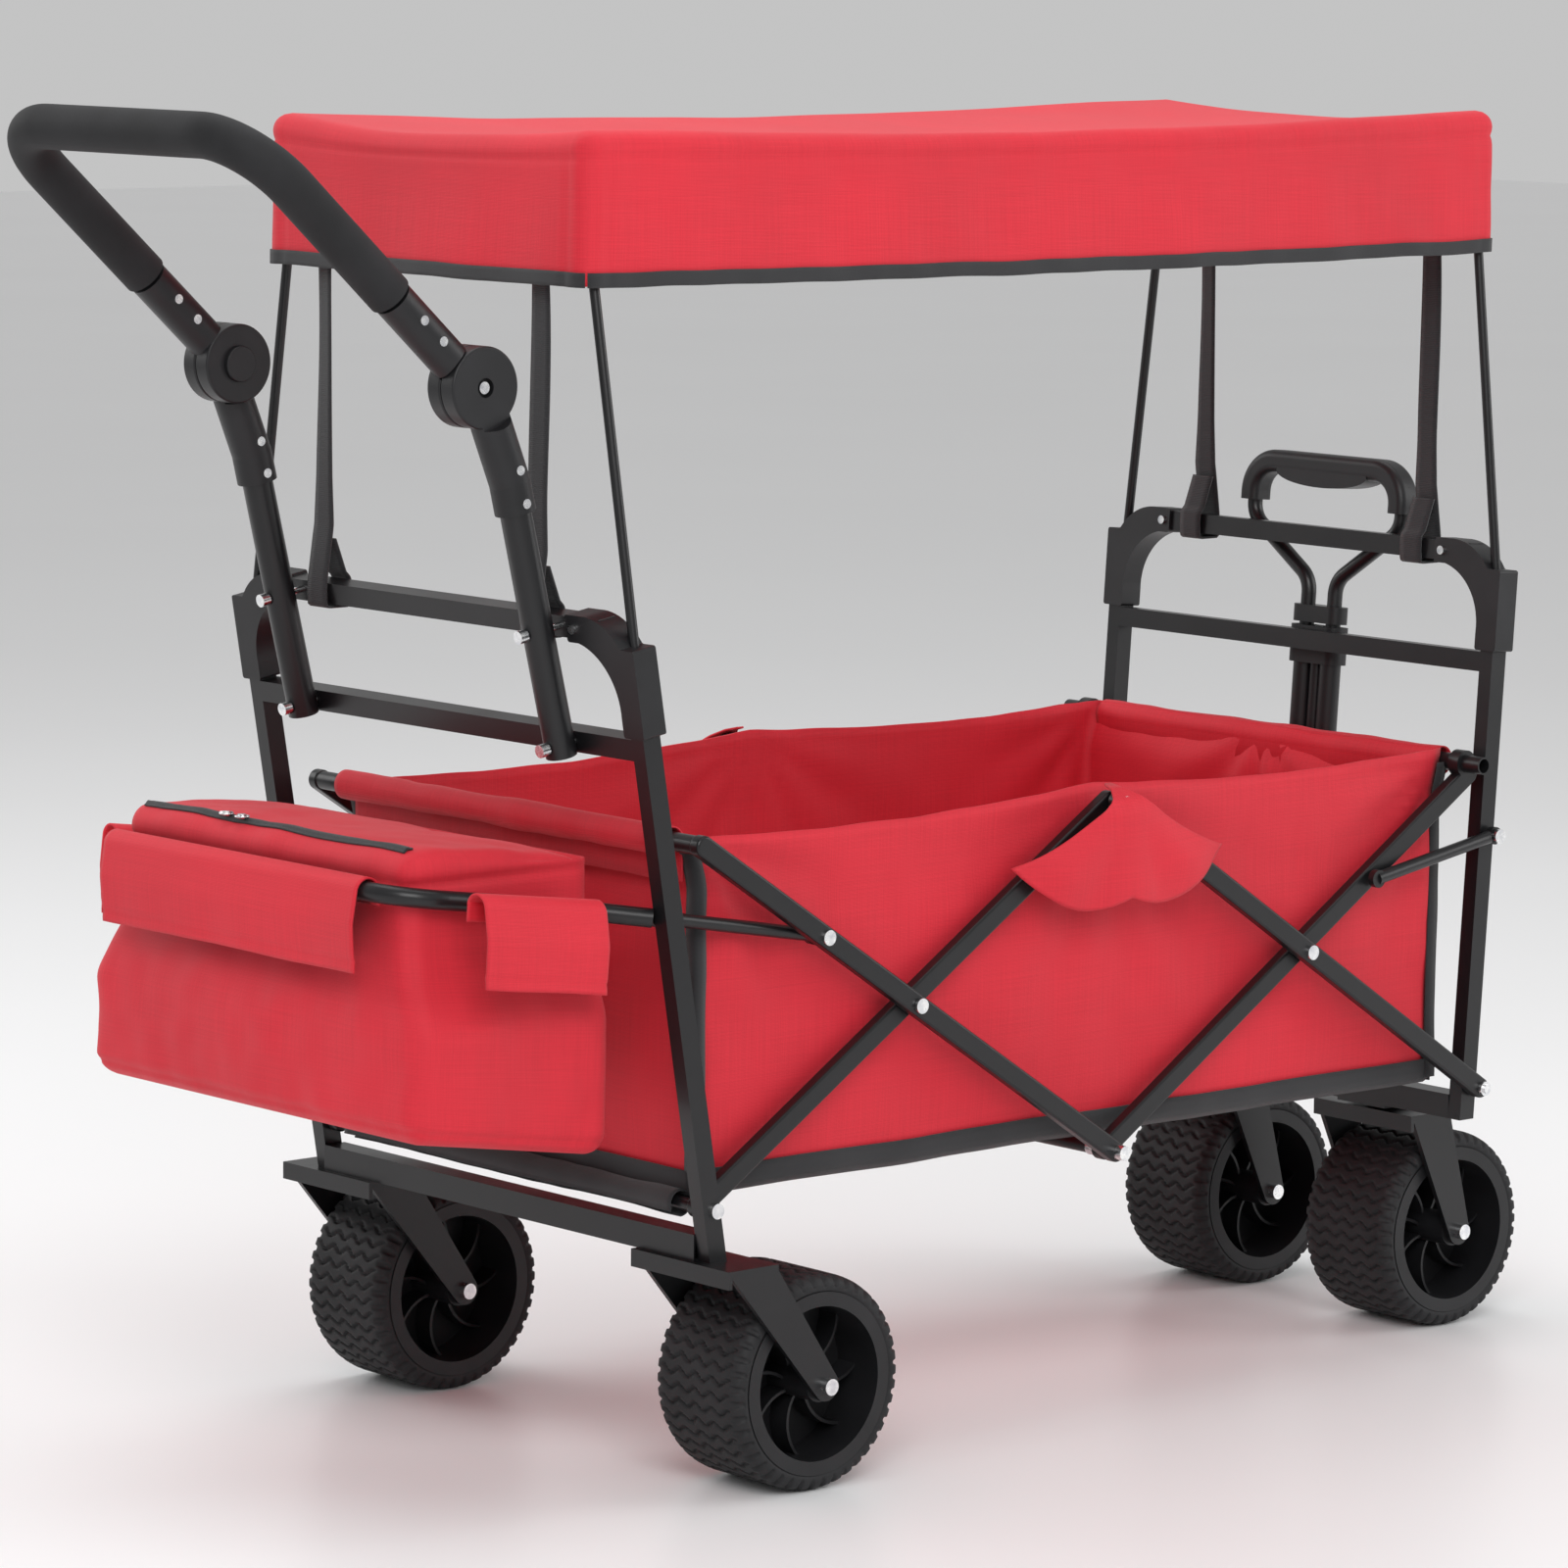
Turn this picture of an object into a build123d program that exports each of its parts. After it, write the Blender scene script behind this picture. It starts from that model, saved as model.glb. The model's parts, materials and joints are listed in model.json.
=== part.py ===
from build123d import *
import math
import os

# Folding utility wagon for small children and their things, in millimetres.
# +X is forward (towards the pull handle), +Y is the wagon's left and +Z is up.
# The floor is at z = 0, and the origin lies on it, under the middle of the overall box.

# Overall layout: X is counted from the middle between the end frames until the final shift
REF_Z = 620.0                # height at which the end frames' positions are given
REAR_X = -506.0              # middle of the rear posts at REF_Z
FRONT_X = 506.0              # middle of the front posts at REF_Z
REAR_LEAN = -9.9             # the end frames lean outwards at the top, degrees
FRONT_LEAN = 4.0

# End frames
POST_DEPTH = 18.0
POST_WIDTH = 15.0
REAR_POST_Y = 257.0          # middle of a rear post
FRONT_POST_Y = 241.5         # middle of a front post
POST_TOP = 688.0             # height along the post
BAR = 18.0                   # square crossbars
UPPER_BAR_Z = 726.0
LOWER_BAR_Z = 629.0
TUBE_WALL = 1.6
REAR_SILL_Z = 200.0          # underside of the rear bottom bar
FRONT_SILL_Z = 213.0         # underside of the front bottom bar
SILL = 22.0

# Scissor sides: two mirrored crosses that meet at a top and a bottom hub
ARM_ANGLE = 33.0             # slope of every arm when the wagon is open, degrees
ARM_WIDTH = 18.0
ARM_THICK = 12.0
OUTER_LAYER_Y = 256.0        # rear falling arm and front rising arm
INNER_LAYER_Y = 242.5        # rear rising arm and front falling arm
HUB_X = 24.0
PIVOT_Z = 243.0
PIVOT_REACH = 226.0          # from a lower pivot to its crossing, along X
HUB_REACH = 234.0            # from a crossing to the hubs, along X
REAR_TOP_REACH = 238.0       # from the rear crossing to the rear rail tube
FRONT_TOP_REACH = 216.0
FRONT_RAIL_LIFT = 12.0       # the front rail tube sits on a boss above its arm
RAIL_R = 8.0
RAIL_STUB = 8.0              # the front rail tube stands out past the arms
FLOOR_TUBE_R = 6.0
RIVET_R = 4.0
PIN_GAP = 0.3                # radial play where an arm turns on its pin
REAR_LINK_D = 124.0          # from the rear crossing up the falling arm to the strut
REAR_STRUT = (-482.0, 487.0)
FRONT_LINK_D = 105.0
FRONT_STRUT = (497.0, 473.0)

# Wheels
WHEEL_R = 91.0
TYRE_HALF = 53.0             # half of a tyre's width
RIM_R = 71.0                 # where the tyre sits on the rim
RIM_LIP = 6.0                # the rim's lips stand this much above it
BARREL_WALL = 6.0
DISC_HALF = 3.0              # half the thickness of the rim's centre disc
HUB_BOSS_R = 15.0
RIBS = 8
RIB_THICK = 2.6
RIB_HALF = 24.0
REAR_AXLE_X = -345.0
REAR_WHEEL_Y = 239.0
FRONT_AXLE_X = 544.0
FRONT_WHEEL_Y = 120.0
KINGPIN_X = 510.0
KINGPIN_R = 8.0
FORK_IN = 57.0               # from the wheel's middle to the inside of a fork leg
FORK_OUT = 62.0
FORK_PLATE = 5.0             # thickness of a fork's top plate
FORK_LIP = 10.0              # drop of its folded rear edge
AXLE_R = 4.0
REAR_FORK_X = (-453.0, -399.0)
REAR_FORK_Z = 195.0
FRONT_FORK_X = (476.0, 530.0)
FRONT_FORK_Z = 201.0

# Push handle
HUB = (-616.0, 165.0, 920.0)
HUB_R = 33.5
HUB_HALF = 17.0              # half of the hub's thickness
HUB_SPLIT = 0.5              # each half stops this far from the hub's middle plane
HANDLE_TUBE_R = 13.0
HANDLE_TUBE_Y = 173.5
HANDLE_TUBE_Z = (620.0, 850.0)
HANDLE_TILT = 4.0            # the handle tubes lean this much more than the posts, degrees
ELBOW_R = 17.0
GRIP_ANGLE = 42.0            # rise of the grip bow behind the hubs, degrees
GRIP_REACH = 303.0           # from the hub axis to the middle of the cross run
GRIP_BEND = 60.0
BAR_R = 12.0
BAR_START = 46.0             # the steel bow starts this far from the hub axis
FOAM_R = 18.5
FOAM_START = 114.0
BUTTON_R = 15.0
BUTTON_POCKET = 5.0          # the button's pocket stops this far from the hub's middle plane
BOLT_R = 3.0
BOLT_HEAD_R = 5.5
CAP_GAP = 0.6                # clears the tube's slant under a cap nut

# Pull handle, standing in front of the front frame and leaning with it
PULL_U = 24.0                # distance in front of the posts' middle plane
PULL_PIVOT_Z = 258.0
PULL_TUBE_Y = 17.0
PULL_OUTER_R = 10.0
PULL_INNER_R = 7.0
PULL_TOP_Z = 640.0
PULL_GRIP_Y = 95.0
PULL_GRIP_Z = 791.0

# Soft parts
TUB_X = (-425.0, 450.0)
TUB_Y = 226.0
TUB_Z = (250.5, 552.0)
CANOPY_X = (-540.0, 531.0)
CANOPY_Y = 213.5
CANOPY_Z = (1000.0, 1128.0)
FABRIC = 2.5
REAR_ROD_TOP_Y = 188.0       # where the canopy's slim rods end, inside its corners
FRONT_ROD_TOP_Y = 194.0
ROD_TOP_Z = 1098.0
ROD_INSET = 15.0             # from the canopy's end panels
BAG_X = (-704.0, -506.0)
BAG_Y = 196.0
BAG_Z = (289.0, 556.0)
BAG_REAR_Z = 322.0           # underside at the rear
BAG_FLARE = 15.0             # below the hoop the bag grows this much to the rear
BAG_FLARE_Y = 225.0          # and to this half width
BAG_NECK_Z = 462.0           # where the flare starts
BAG_CORNER = 24.0            # cut off the bag's rear corners, where the hoop bends
HOOP_R = 8.0
HOOP_BEND = 45.0
STRAP_Y = 143.0
STRAP_WIDTH = 22.0
STRAP_THICK = 3.0
STRAP_INSET = 5.0            # from the canopy's outer face to the strap's middle

# Worked out from the above
SLOPE = math.tan(math.radians(ARM_ANGLE))
COS_ARM = math.cos(math.radians(ARM_ANGLE))
CROSS_Z = PIVOT_Z + PIVOT_REACH * SLOPE
TOP_HUB = (HUB_X, CROSS_Z + HUB_REACH * SLOPE)
LOW_HUB = (HUB_X, CROSS_Z - HUB_REACH * SLOPE)
REAR_CROSS = (HUB_X - HUB_REACH, CROSS_Z)
FRONT_CROSS = (HUB_X + HUB_REACH, CROSS_Z)
REAR_PIVOT = (REAR_CROSS[0] - PIVOT_REACH, PIVOT_Z)
FRONT_PIVOT = (FRONT_CROSS[0] + PIVOT_REACH, PIVOT_Z)
REAR_RAIL = (REAR_CROSS[0] - REAR_TOP_REACH, CROSS_Z + REAR_TOP_REACH * SLOPE)
FRONT_ARM_TOP = (FRONT_CROSS[0] + FRONT_TOP_REACH, CROSS_Z + FRONT_TOP_REACH * SLOPE)
FRONT_RAIL = (
    FRONT_ARM_TOP[0] - FRONT_RAIL_LIFT * math.sin(math.radians(ARM_ANGLE)),
    FRONT_ARM_TOP[1] + FRONT_RAIL_LIFT * COS_ARM,
)
REAR_LINK_END = (REAR_CROSS[0] - REAR_LINK_D * COS_ARM, CROSS_Z + REAR_LINK_D * COS_ARM * SLOPE)
FRONT_LINK_END = (FRONT_CROSS[0] + FRONT_LINK_D * COS_ARM, CROSS_Z + FRONT_LINK_D * COS_ARM * SLOPE)
GRIP_DIR = (-math.cos(math.radians(GRIP_ANGLE)), 0.0, math.sin(math.radians(GRIP_ANGLE)))
REAR_END_X = HUB[0] + GRIP_REACH * GRIP_DIR[0] - FOAM_R
FRONT_END_X = FRONT_AXLE_X + WHEEL_R
ORIGIN_SHIFT_X = -(REAR_END_X + FRONT_END_X) / 2
HANDLE_TUBE_U = -(BAR / 2 + HANDLE_TUBE_R + 1.0)    # the handle tubes stand behind the crossbars

nodes = {}


# ---------------------------------------------------------------- small helpers

def block(x, y, z):
    """A box from three (low, high) pairs."""
    size = (x[1] - x[0], y[1] - y[0], z[1] - z[0])
    middle = ((x[0] + x[1]) / 2, (y[0] + y[1]) / 2, (z[0] + z[1]) / 2)
    return Pos(*middle) * Box(*size)


def rod(start, end, radius):
    """A round bar between two points."""
    start = Vector(*start)
    run = Vector(*end) - start
    plane = Plane(origin=start, z_dir=run.normalized())
    return plane * Cylinder(radius, run.length, align=(Align.CENTER, Align.CENTER, Align.MIN))


def sweep_tube(path, radius):
    """A round tube along a path, open at both ends."""
    start = Plane(origin=path @ 0, z_dir=path % 0)
    return sweep(start * Circle(radius), path) - sweep(start * Circle(radius - TUBE_WALL), path)


def tube_y(x, z, half, radius):
    """A round tube along Y, centred on the wagon."""
    return pin_y(x, z, -half, half, radius) - pin_y(x, z, -half - 5, half + 5, radius - TUBE_WALL)


def pin_y(x, z, low, high, radius):
    """A round bar along Y."""
    return rod((x, low, z), (x, high, z), radius)


def lean_rear(shape):
    """Turns a shape built about an upright post into the leaning rear frame."""
    return Pos(REAR_X, 0, REF_Z) * Rot(0, REAR_LEAN, 0) * Pos(0, 0, -REF_Z) * shape


def lean_front(shape):
    """The same for the front frame."""
    return Pos(FRONT_X, 0, REF_Z) * Rot(0, FRONT_LEAN, 0) * Pos(0, 0, -REF_Z) * shape


def lean_point(u, z, frame_x, lean):
    """Where a point of an upright frame goes when the frame leans."""
    angle = math.radians(lean)
    x = frame_x + u * math.cos(angle) + (z - REF_Z) * math.sin(angle)
    return (x, REF_Z + (z - REF_Z) * math.cos(angle) - u * math.sin(angle))


def other_side(shape):
    """The same piece on the wagon's right."""
    return mirror(shape, about=Plane.XZ)


def add(name, *shapes):
    """Files one node, made of one or more separate solids."""
    solids = []
    for shape in shapes:
        solids.extend(shape.solids())
    nodes[name] = solids


def add_pair(name, left):
    """Files a left piece and its mirror image as two nodes."""
    add(name + "_left", left)
    add(name + "_right", other_side(left))


def square_tube(x, y, z, axis):
    """A box section with an open bore along one axis."""
    outer = block(x, y, z)
    inner = []
    for name, (low, high) in zip("xyz", (x, y, z)):
        if name == axis:
            inner.append((low - 5, high + 5))
        else:
            inner.append((low + TUBE_WALL, high - TUBE_WALL))
    return outer - block(*inner)


def arm(start, end, layer_y):
    """A flat scissor arm with round ends, in one of the two layers."""
    run_x = end[0] - start[0]
    run_z = end[1] - start[1]
    length = math.hypot(run_x, run_z)
    plane = Plane(
        origin=((start[0] + end[0]) / 2, layer_y + ARM_THICK / 2, (start[1] + end[1]) / 2),
        x_dir=(run_x, 0, run_z),
        z_dir=(0, 1, 0),
    )
    bar = extrude(plane * SlotCenterToCenter(length, ARM_WIDTH), -ARM_THICK)
    return fillet(bar.edges().filter_by(GeomType.LINE), 2.5)


def drill(shape, at, radius):
    """Bores a hole along Y through one arm."""
    return shape - pin_y(at[0], at[1], 200, 300, radius)


# ---------------------------------------------------------------- end frames

def rear_post():
    """A box-section post that stands on the rear fork plate."""
    depth = (-POST_DEPTH / 2, POST_DEPTH / 2)
    width = (REAR_POST_Y - POST_WIDTH / 2, REAR_POST_Y + POST_WIDTH / 2)
    post = lean_rear(square_tube(depth, width, (150, POST_TOP), "z"))
    post -= block((-700, -200), (200, 300), (100, REAR_SILL_Z))
    return drill(post, REAR_PIVOT, RIVET_R)


def front_post():
    """A box-section post beside the front bottom bar."""
    depth = (-POST_DEPTH / 2, POST_DEPTH / 2)
    width = (FRONT_POST_Y - POST_WIDTH / 2, FRONT_POST_Y + POST_WIDTH / 2)
    post = lean_front(square_tube(depth, width, (150, POST_TOP), "z"))
    post -= block((300, 700), (200, 300), (100, FRONT_SILL_Z))
    return drill(post, FRONT_PIVOT, RIVET_R)


def crossbar(height, half_length):
    """One square crossbar, still upright at its height on the posts."""
    depth = (-BAR / 2, BAR / 2)
    return square_tube(depth, (-half_length, half_length), (height - BAR / 2, height + BAR / 2), "y")


def crossbar_half(height, post_y):
    """A crossbar's half length: the upper bar ends in the corner brackets."""
    inner_face = post_y - POST_WIDTH / 2
    return inner_face if height == LOWER_BAR_Z else inner_face - 22


def rear_bottom_bar():
    """The bar between the feet of the rear posts."""
    x, _ = lean_point(0, REF_Z - (REF_Z - REAR_SILL_Z - SILL / 2), REAR_X, REAR_LEAN)
    half = REAR_POST_Y - POST_WIDTH / 2
    return square_tube((x - SILL / 2, x + SILL / 2), (-half, half), (REAR_SILL_Z, REAR_SILL_Z + SILL), "y")


def caster_mount(side):
    """The plate under the front bottom bar that a caster's king pin turns in."""
    y = side * FRONT_WHEEL_Y
    plate = block((474, 540), (y - 30, y + 30), (FRONT_SILL_Z - 4, FRONT_SILL_Z))
    hole = rod((KINGPIN_X, y, 200), (KINGPIN_X, y, 230), KINGPIN_R + PIN_GAP)
    return plate - hole


def pull_ear(side):
    """One of the two ears that hold the pull handle's hinge pin."""
    x, z = lean_point(PULL_U, PULL_PIVOT_Z, FRONT_X, FRONT_LEAN)
    foot = Pos(480, FRONT_SILL_Z + SILL / 2) * Rectangle(20, SILL)
    eye = Pos(x, z) * Circle(10)
    profile = Plane.XZ * make_hull(foot.edges() + eye.edges())
    ear = Pos(0, side * 31.5 + 2.5, 0) * extrude(profile, 5)
    return ear - pin_y(x, z, -60, 60, RIVET_R)


def front_bottom_bar():
    """The bottom bar with the caster plates and the pull handle's ears welded on."""
    half = FRONT_POST_Y - POST_WIDTH / 2
    bar = square_tube((469, 491), (-half, half), (FRONT_SILL_Z, FRONT_SILL_Z + SILL), "y")
    for side in (-1, 1):
        bar += caster_mount(side)
        bar += pull_ear(side)
    return bar


def bracket_profile(post_y):
    """Outline in the YZ plane of the moulded corner between post and upper crossbar."""
    inner = post_y - POST_WIDTH / 2
    top = UPPER_BAR_Z + BAR / 2 + 2.5
    low = UPPER_BAR_Z - BAR / 2 - 2.5
    clamp = post_y + POST_WIDTH / 2 + 5
    edges = [
        Line((inner - 62, low), (inner - 62, top)),
        Line((inner - 62, top), (inner - 44, top)),
        ThreePointArc((inner - 44, top), (inner - 14, top - 7), (inner + 4, top - 24)),
        Line((inner + 4, top - 24), (clamp, top - 24)),
        Line((clamp, top - 24), (clamp, top - 98)),
        Line((clamp, top - 98), (inner - 5, top - 98)),
        Line((inner - 5, top - 98), (inner - 5, top - 82)),
        ThreePointArc((inner - 5, top - 82), (inner - 16, top - 44), (inner - 48, low)),
        Line((inner - 48, low), (inner - 62, low)),
    ]
    return make_face(Wire(edges))


def corner_bracket(post_y, fillings):
    """A moulded corner that clamps a post, holds a crossbar's end and takes a canopy rod."""
    profile = Plane.YZ * bracket_profile(post_y)
    bracket = extrude(profile, 12, both=True)
    bracket = fillet(bracket.edges().filter_by(Axis.X), 2.5)
    for filling in fillings:
        bracket -= filling
    return bracket


def post_core(post_y):
    """The solid outline of a post, upright, for clearing a bracket's bore."""
    width = (post_y - POST_WIDTH / 2, post_y + POST_WIDTH / 2)
    return block((-POST_DEPTH / 2, POST_DEPTH / 2), width, (600, POST_TOP))


def bar_core(post_y):
    """The solid outline of the upper crossbar, upright."""
    half = crossbar_half(UPPER_BAR_Z, post_y)
    depth = (-BAR / 2, BAR / 2)
    return block(depth, (-half, half), (UPPER_BAR_Z - BAR / 2, UPPER_BAR_Z + BAR / 2))


def bracket_screw(post_y):
    """The screw that holds a bracket on its crossbar, upright."""
    y = post_y - POST_WIDTH / 2 - 53
    return rod((-14.5, y, UPPER_BAR_Z), (-BAR / 2, y, UPPER_BAR_Z), 4)


# ---------------------------------------------------------------- wheels and forks

def tyre(x, y):
    """A broad block tyre with rounded shoulders."""
    half = TYRE_HALF
    lip = RIM_R + RIM_LIP
    outer_half = [
        (RIM_R, half - RIM_LIP), (lip, half), (WHEEL_R - 7, half), (WHEEL_R - 2, half - 5), (WHEEL_R, half - 14),
    ]
    other_half = [(radius, -y) for radius, y in reversed(outer_half)]
    profile = Polyline(*outer_half, *other_half, close=True)
    return Pos(x, y, WHEEL_R) * revolve(make_face(profile), Axis.Y)


def rim(x, y):
    """A moulded rim: barrel, centre disc, hub and curved ribs on both sides."""
    half = TYRE_HALF
    lip = RIM_R + RIM_LIP
    barrel_r = RIM_R - BARREL_WALL
    edge = [(barrel_r, half), (lip, half), (RIM_R, half - RIM_LIP)]
    other_edge = [(radius, -y) for radius, y in reversed(edge)]
    wheel = revolve(make_face(Polyline(*edge, *other_edge, close=True)), Axis.Y)
    wheel += pin_y(0, 0, -DISC_HALF, DISC_HALF, barrel_r + 2)
    wheel += pin_y(0, 0, 3 - FORK_IN, FORK_IN - 3, HUB_BOSS_R)
    rib = ThreePointArc((HUB_BOSS_R - 3, 0), (barrel_r * 0.62, -9), (barrel_r + 2, 4))
    rib_bar = extrude(Plane.XZ * trace(rib, RIB_THICK), RIB_HALF, both=True)
    for turn in range(RIBS):
        wheel += Rot(0, turn * 360 / RIBS, 0) * rib_bar
    wheel -= pin_y(0, 0, -90, 90, AXLE_R + PIN_GAP)
    return Pos(x, y, WHEEL_R) * wheel


def fork_leg(top_x, top_z, axle_x, low, high):
    """A leg plate that narrows from the fork's top plate to the axle."""
    head = Pos((top_x[0] + top_x[1]) / 2, top_z) * Rectangle(top_x[1] - top_x[0], 4)
    eye = Pos(axle_x, WHEEL_R) * Circle(13)
    profile = Plane.XZ * make_hull(head.edges() + eye.edges())
    return Pos(0, high, 0) * extrude(profile, high - low)


def fork(x, y, plate_z, axle_x):
    """A top plate with two legs and the axle holes."""
    width = (y - FORK_OUT, y + FORK_OUT)
    plate = block(x, width, (plate_z, plate_z + FORK_PLATE))
    lip = block((x[0], x[0] + 4), width, (plate_z - FORK_LIP, plate_z))
    body = plate + lip
    leg_top = (x[0] + 4, x[1] - 2)
    for low, high in ((y - FORK_OUT, y - FORK_IN), (y + FORK_IN, y + FORK_OUT)):
        body += fork_leg(leg_top, plate_z + 1, axle_x, low, high)
    return body - pin_y(axle_x, WHEEL_R, y - 80, y + 80, AXLE_R)


def caster_fork(y):
    """A front fork with its bearing race, king pin and nut."""
    body = fork(FRONT_FORK_X, y, FRONT_FORK_Z, FRONT_AXLE_X)
    plate_top = FRONT_FORK_Z + FORK_PLATE
    body += rod((KINGPIN_X, y, plate_top), (KINGPIN_X, y, FRONT_SILL_Z - 4.6), 19)
    body += rod((KINGPIN_X, y, plate_top), (KINGPIN_X, y, 222), KINGPIN_R)
    nut = Pos(KINGPIN_X, y, FRONT_SILL_Z + 0.6) * extrude(RegularPolygon(11, 6), 7)
    return body + nut


def axle(x, y, outward):
    """A bolt through both legs and the wheel, head outside and nut inside."""
    shank = pin_y(x, WHEEL_R, y - FORK_OUT - 3, y + FORK_OUT + 3, AXLE_R)
    head_y = y + outward * FORK_OUT
    head = pin_y(x, WHEEL_R, min(head_y, head_y + outward * 7), max(head_y, head_y + outward * 7), 7)
    nut_y = y - outward * FORK_OUT
    nut = pin_y(x, WHEEL_R, min(nut_y, nut_y - outward * 6), max(nut_y, nut_y - outward * 6), 7)
    return shank + head + nut


# ---------------------------------------------------------------- push handle

def handle_rod(low, high, radius):
    """A round bar along the axis of the left handle tube, between two heights, in the leaning frame."""
    upright = rod((HANDLE_TUBE_U, HANDLE_TUBE_Y, low), (HANDLE_TUBE_U, HANDLE_TUBE_Y, high), radius)
    tilt = Pos(HANDLE_TUBE_U, 0, LOWER_BAR_Z) * Rot(0, -HANDLE_TILT, 0) * Pos(-HANDLE_TUBE_U, 0, -LOWER_BAR_Z)
    return lean_rear(tilt * upright)


def handle_point(height):
    """X and Z of the handle tube's axis at a height along it."""
    rise = height - LOWER_BAR_Z
    tilt = math.radians(HANDLE_TILT)
    u = HANDLE_TUBE_U - rise * math.sin(tilt)
    return lean_point(u, LOWER_BAR_Z + rise * math.cos(tilt), REAR_X, REAR_LEAN)


def handle_bolt(height):
    """A bolt with a cap nut that holds a handle tube to a crossbar, upright."""
    slant = (height - LOWER_BAR_Z) * math.tan(math.radians(HANDLE_TILT))
    back = HANDLE_TUBE_U - HANDLE_TUBE_R - slant - CAP_GAP
    y = HANDLE_TUBE_Y
    bolt = rod((back, y, height), (BAR / 2, y, height), BOLT_R)
    cap = rod((back - 8, y, height), (back, y, height), BOLT_HEAD_R)
    head = rod((BAR / 2, y, height), (BAR / 2 + 4, y, height), BOLT_HEAD_R)
    return bolt + cap + head


def handle_tube():
    """The tube bolted behind both rear crossbars, with its bolt holes."""
    tube = handle_rod(*HANDLE_TUBE_Z, HANDLE_TUBE_R) - handle_rod(500, 900, HANDLE_TUBE_R - TUBE_WALL)
    for height in (UPPER_BAR_Z, LOWER_BAR_Z):
        tube -= lean_rear(rod((-80, HANDLE_TUBE_Y, height), (0, HANDLE_TUBE_Y, height), BOLT_R))
    return tube


def hub_half(low, high):
    """One of the two discs of a handle hub."""
    disc = pin_y(HUB[0], HUB[2], low, high, HUB_R)
    return fillet(disc.edges(), 2)


def lower_elbow():
    """The moulded elbow from a handle tube to the outer half of its hub, with a recess for the hub screw."""
    top = HANDLE_TUBE_Z[1] + 2
    sleeve = handle_rod(HANDLE_TUBE_Z[1] - 22, top, ELBOW_R)
    x, z = handle_point(top)
    knee = Pos(x, HANDLE_TUBE_Y, z) * Sphere(ELBOW_R)
    neck = rod((x, HANDLE_TUBE_Y, z), (HUB[0], HANDLE_TUBE_Y, HUB[2]), ELBOW_R - 0.1)
    elbow = sleeve + knee + neck
    elbow -= pin_y(HUB[0], HUB[2], 100, HUB[1] + HUB_SPLIT, HUB_R + 1.5)
    elbow -= pin_y(HUB[0], HUB[2], HUB[1] + HUB_HALF, 300, HUB_R + 1.5)
    elbow += hub_half(HUB[1] + HUB_SPLIT, HUB[1] + HUB_HALF)
    elbow -= pin_y(HUB[0], HUB[2], HUB[1] + HUB_HALF - 5, HUB[1] + HUB_HALF + 1, 8)
    return elbow - handle_rod(*HANDLE_TUBE_Z, HANDLE_TUBE_R)


def hub_screw():
    """The screw in the recess of a hub's outer face."""
    face = HUB[1] + HUB_HALF
    return pin_y(HUB[0], HUB[2], face - 5, face - 1.5, 5)


def upper_elbow():
    """The moulded elbow from the inner half of a hub to the grip bow."""
    end = [HUB[i] + GRIP_DIR[i] * (FOAM_START - 4) for i in range(3)]
    elbow = rod(HUB, end, ELBOW_R - 0.5)
    elbow -= pin_y(HUB[0], HUB[2], 100, HUB[1] - HUB_HALF, HUB_R + 1.5)
    elbow -= pin_y(HUB[0], HUB[2], HUB[1] - HUB_SPLIT, 300, HUB_R + 1.5)
    elbow += hub_half(HUB[1] - HUB_HALF, HUB[1] - HUB_SPLIT)
    elbow -= pin_y(HUB[0], HUB[2], 100, HUB[1] - BUTTON_POCKET, BUTTON_R + PIN_GAP)
    return elbow - grip_bar()


def elbow_screws(points, y):
    """Screw heads on both sides of an elbow."""
    near = HANDLE_TUBE_R + 0.3
    far = near + 4.2
    screws = []
    for x, z in points:
        screws.append(pin_y(x, z, y + near, y + far, 4))
        screws.append(pin_y(x, z, y - far, y - near, 4))
    return screws


def lower_screw_points():
    """Two places along the lower elbow."""
    return [handle_point(HANDLE_TUBE_Z[1] - 14), handle_point(HANDLE_TUBE_Z[1] + 14)]


def upper_screw_points():
    """Two places along the upper elbow."""
    return [(HUB[0] + GRIP_DIR[0] * s, HUB[2] + GRIP_DIR[2] * s) for s in (58, 84)]


def grip_path(start):
    """The bow's centre line, in the plane of the grip, from one hub to the other."""
    plane = Plane(origin=(HUB[0], 0, HUB[2]), x_dir=GRIP_DIR, z_dir=Vector(*GRIP_DIR).cross(Vector(0, 1, 0)))
    side = HUB[1]
    corners = [(start, -side), (GRIP_REACH, -side), (GRIP_REACH, side), (start, side)]
    points = [plane.from_local_coords(Vector(x, y, 0)) for x, y in corners]
    return FilletPolyline(*points, radius=GRIP_BEND)


def grip_bar():
    """The steel bow inside the foam."""
    path = grip_path(BAR_START)
    return sweep(Plane(origin=path @ 0, z_dir=path % 0) * Circle(BAR_R), path)


def grip_foam():
    """The foam sleeve round the bow."""
    path = grip_path(FOAM_START)
    start = Plane(origin=path @ 0, z_dir=path % 0)
    foam = sweep(start * Circle(FOAM_R), path)
    return foam - grip_bar()


def hub_button():
    """The sprung button in the inner face of a hub."""
    face = HUB[1] - HUB_HALF
    button = pin_y(HUB[0], HUB[2], face - 4, face + 6, BUTTON_R)
    return fillet(button.edges(), 1)


# ---------------------------------------------------------------- pull handle

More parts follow.
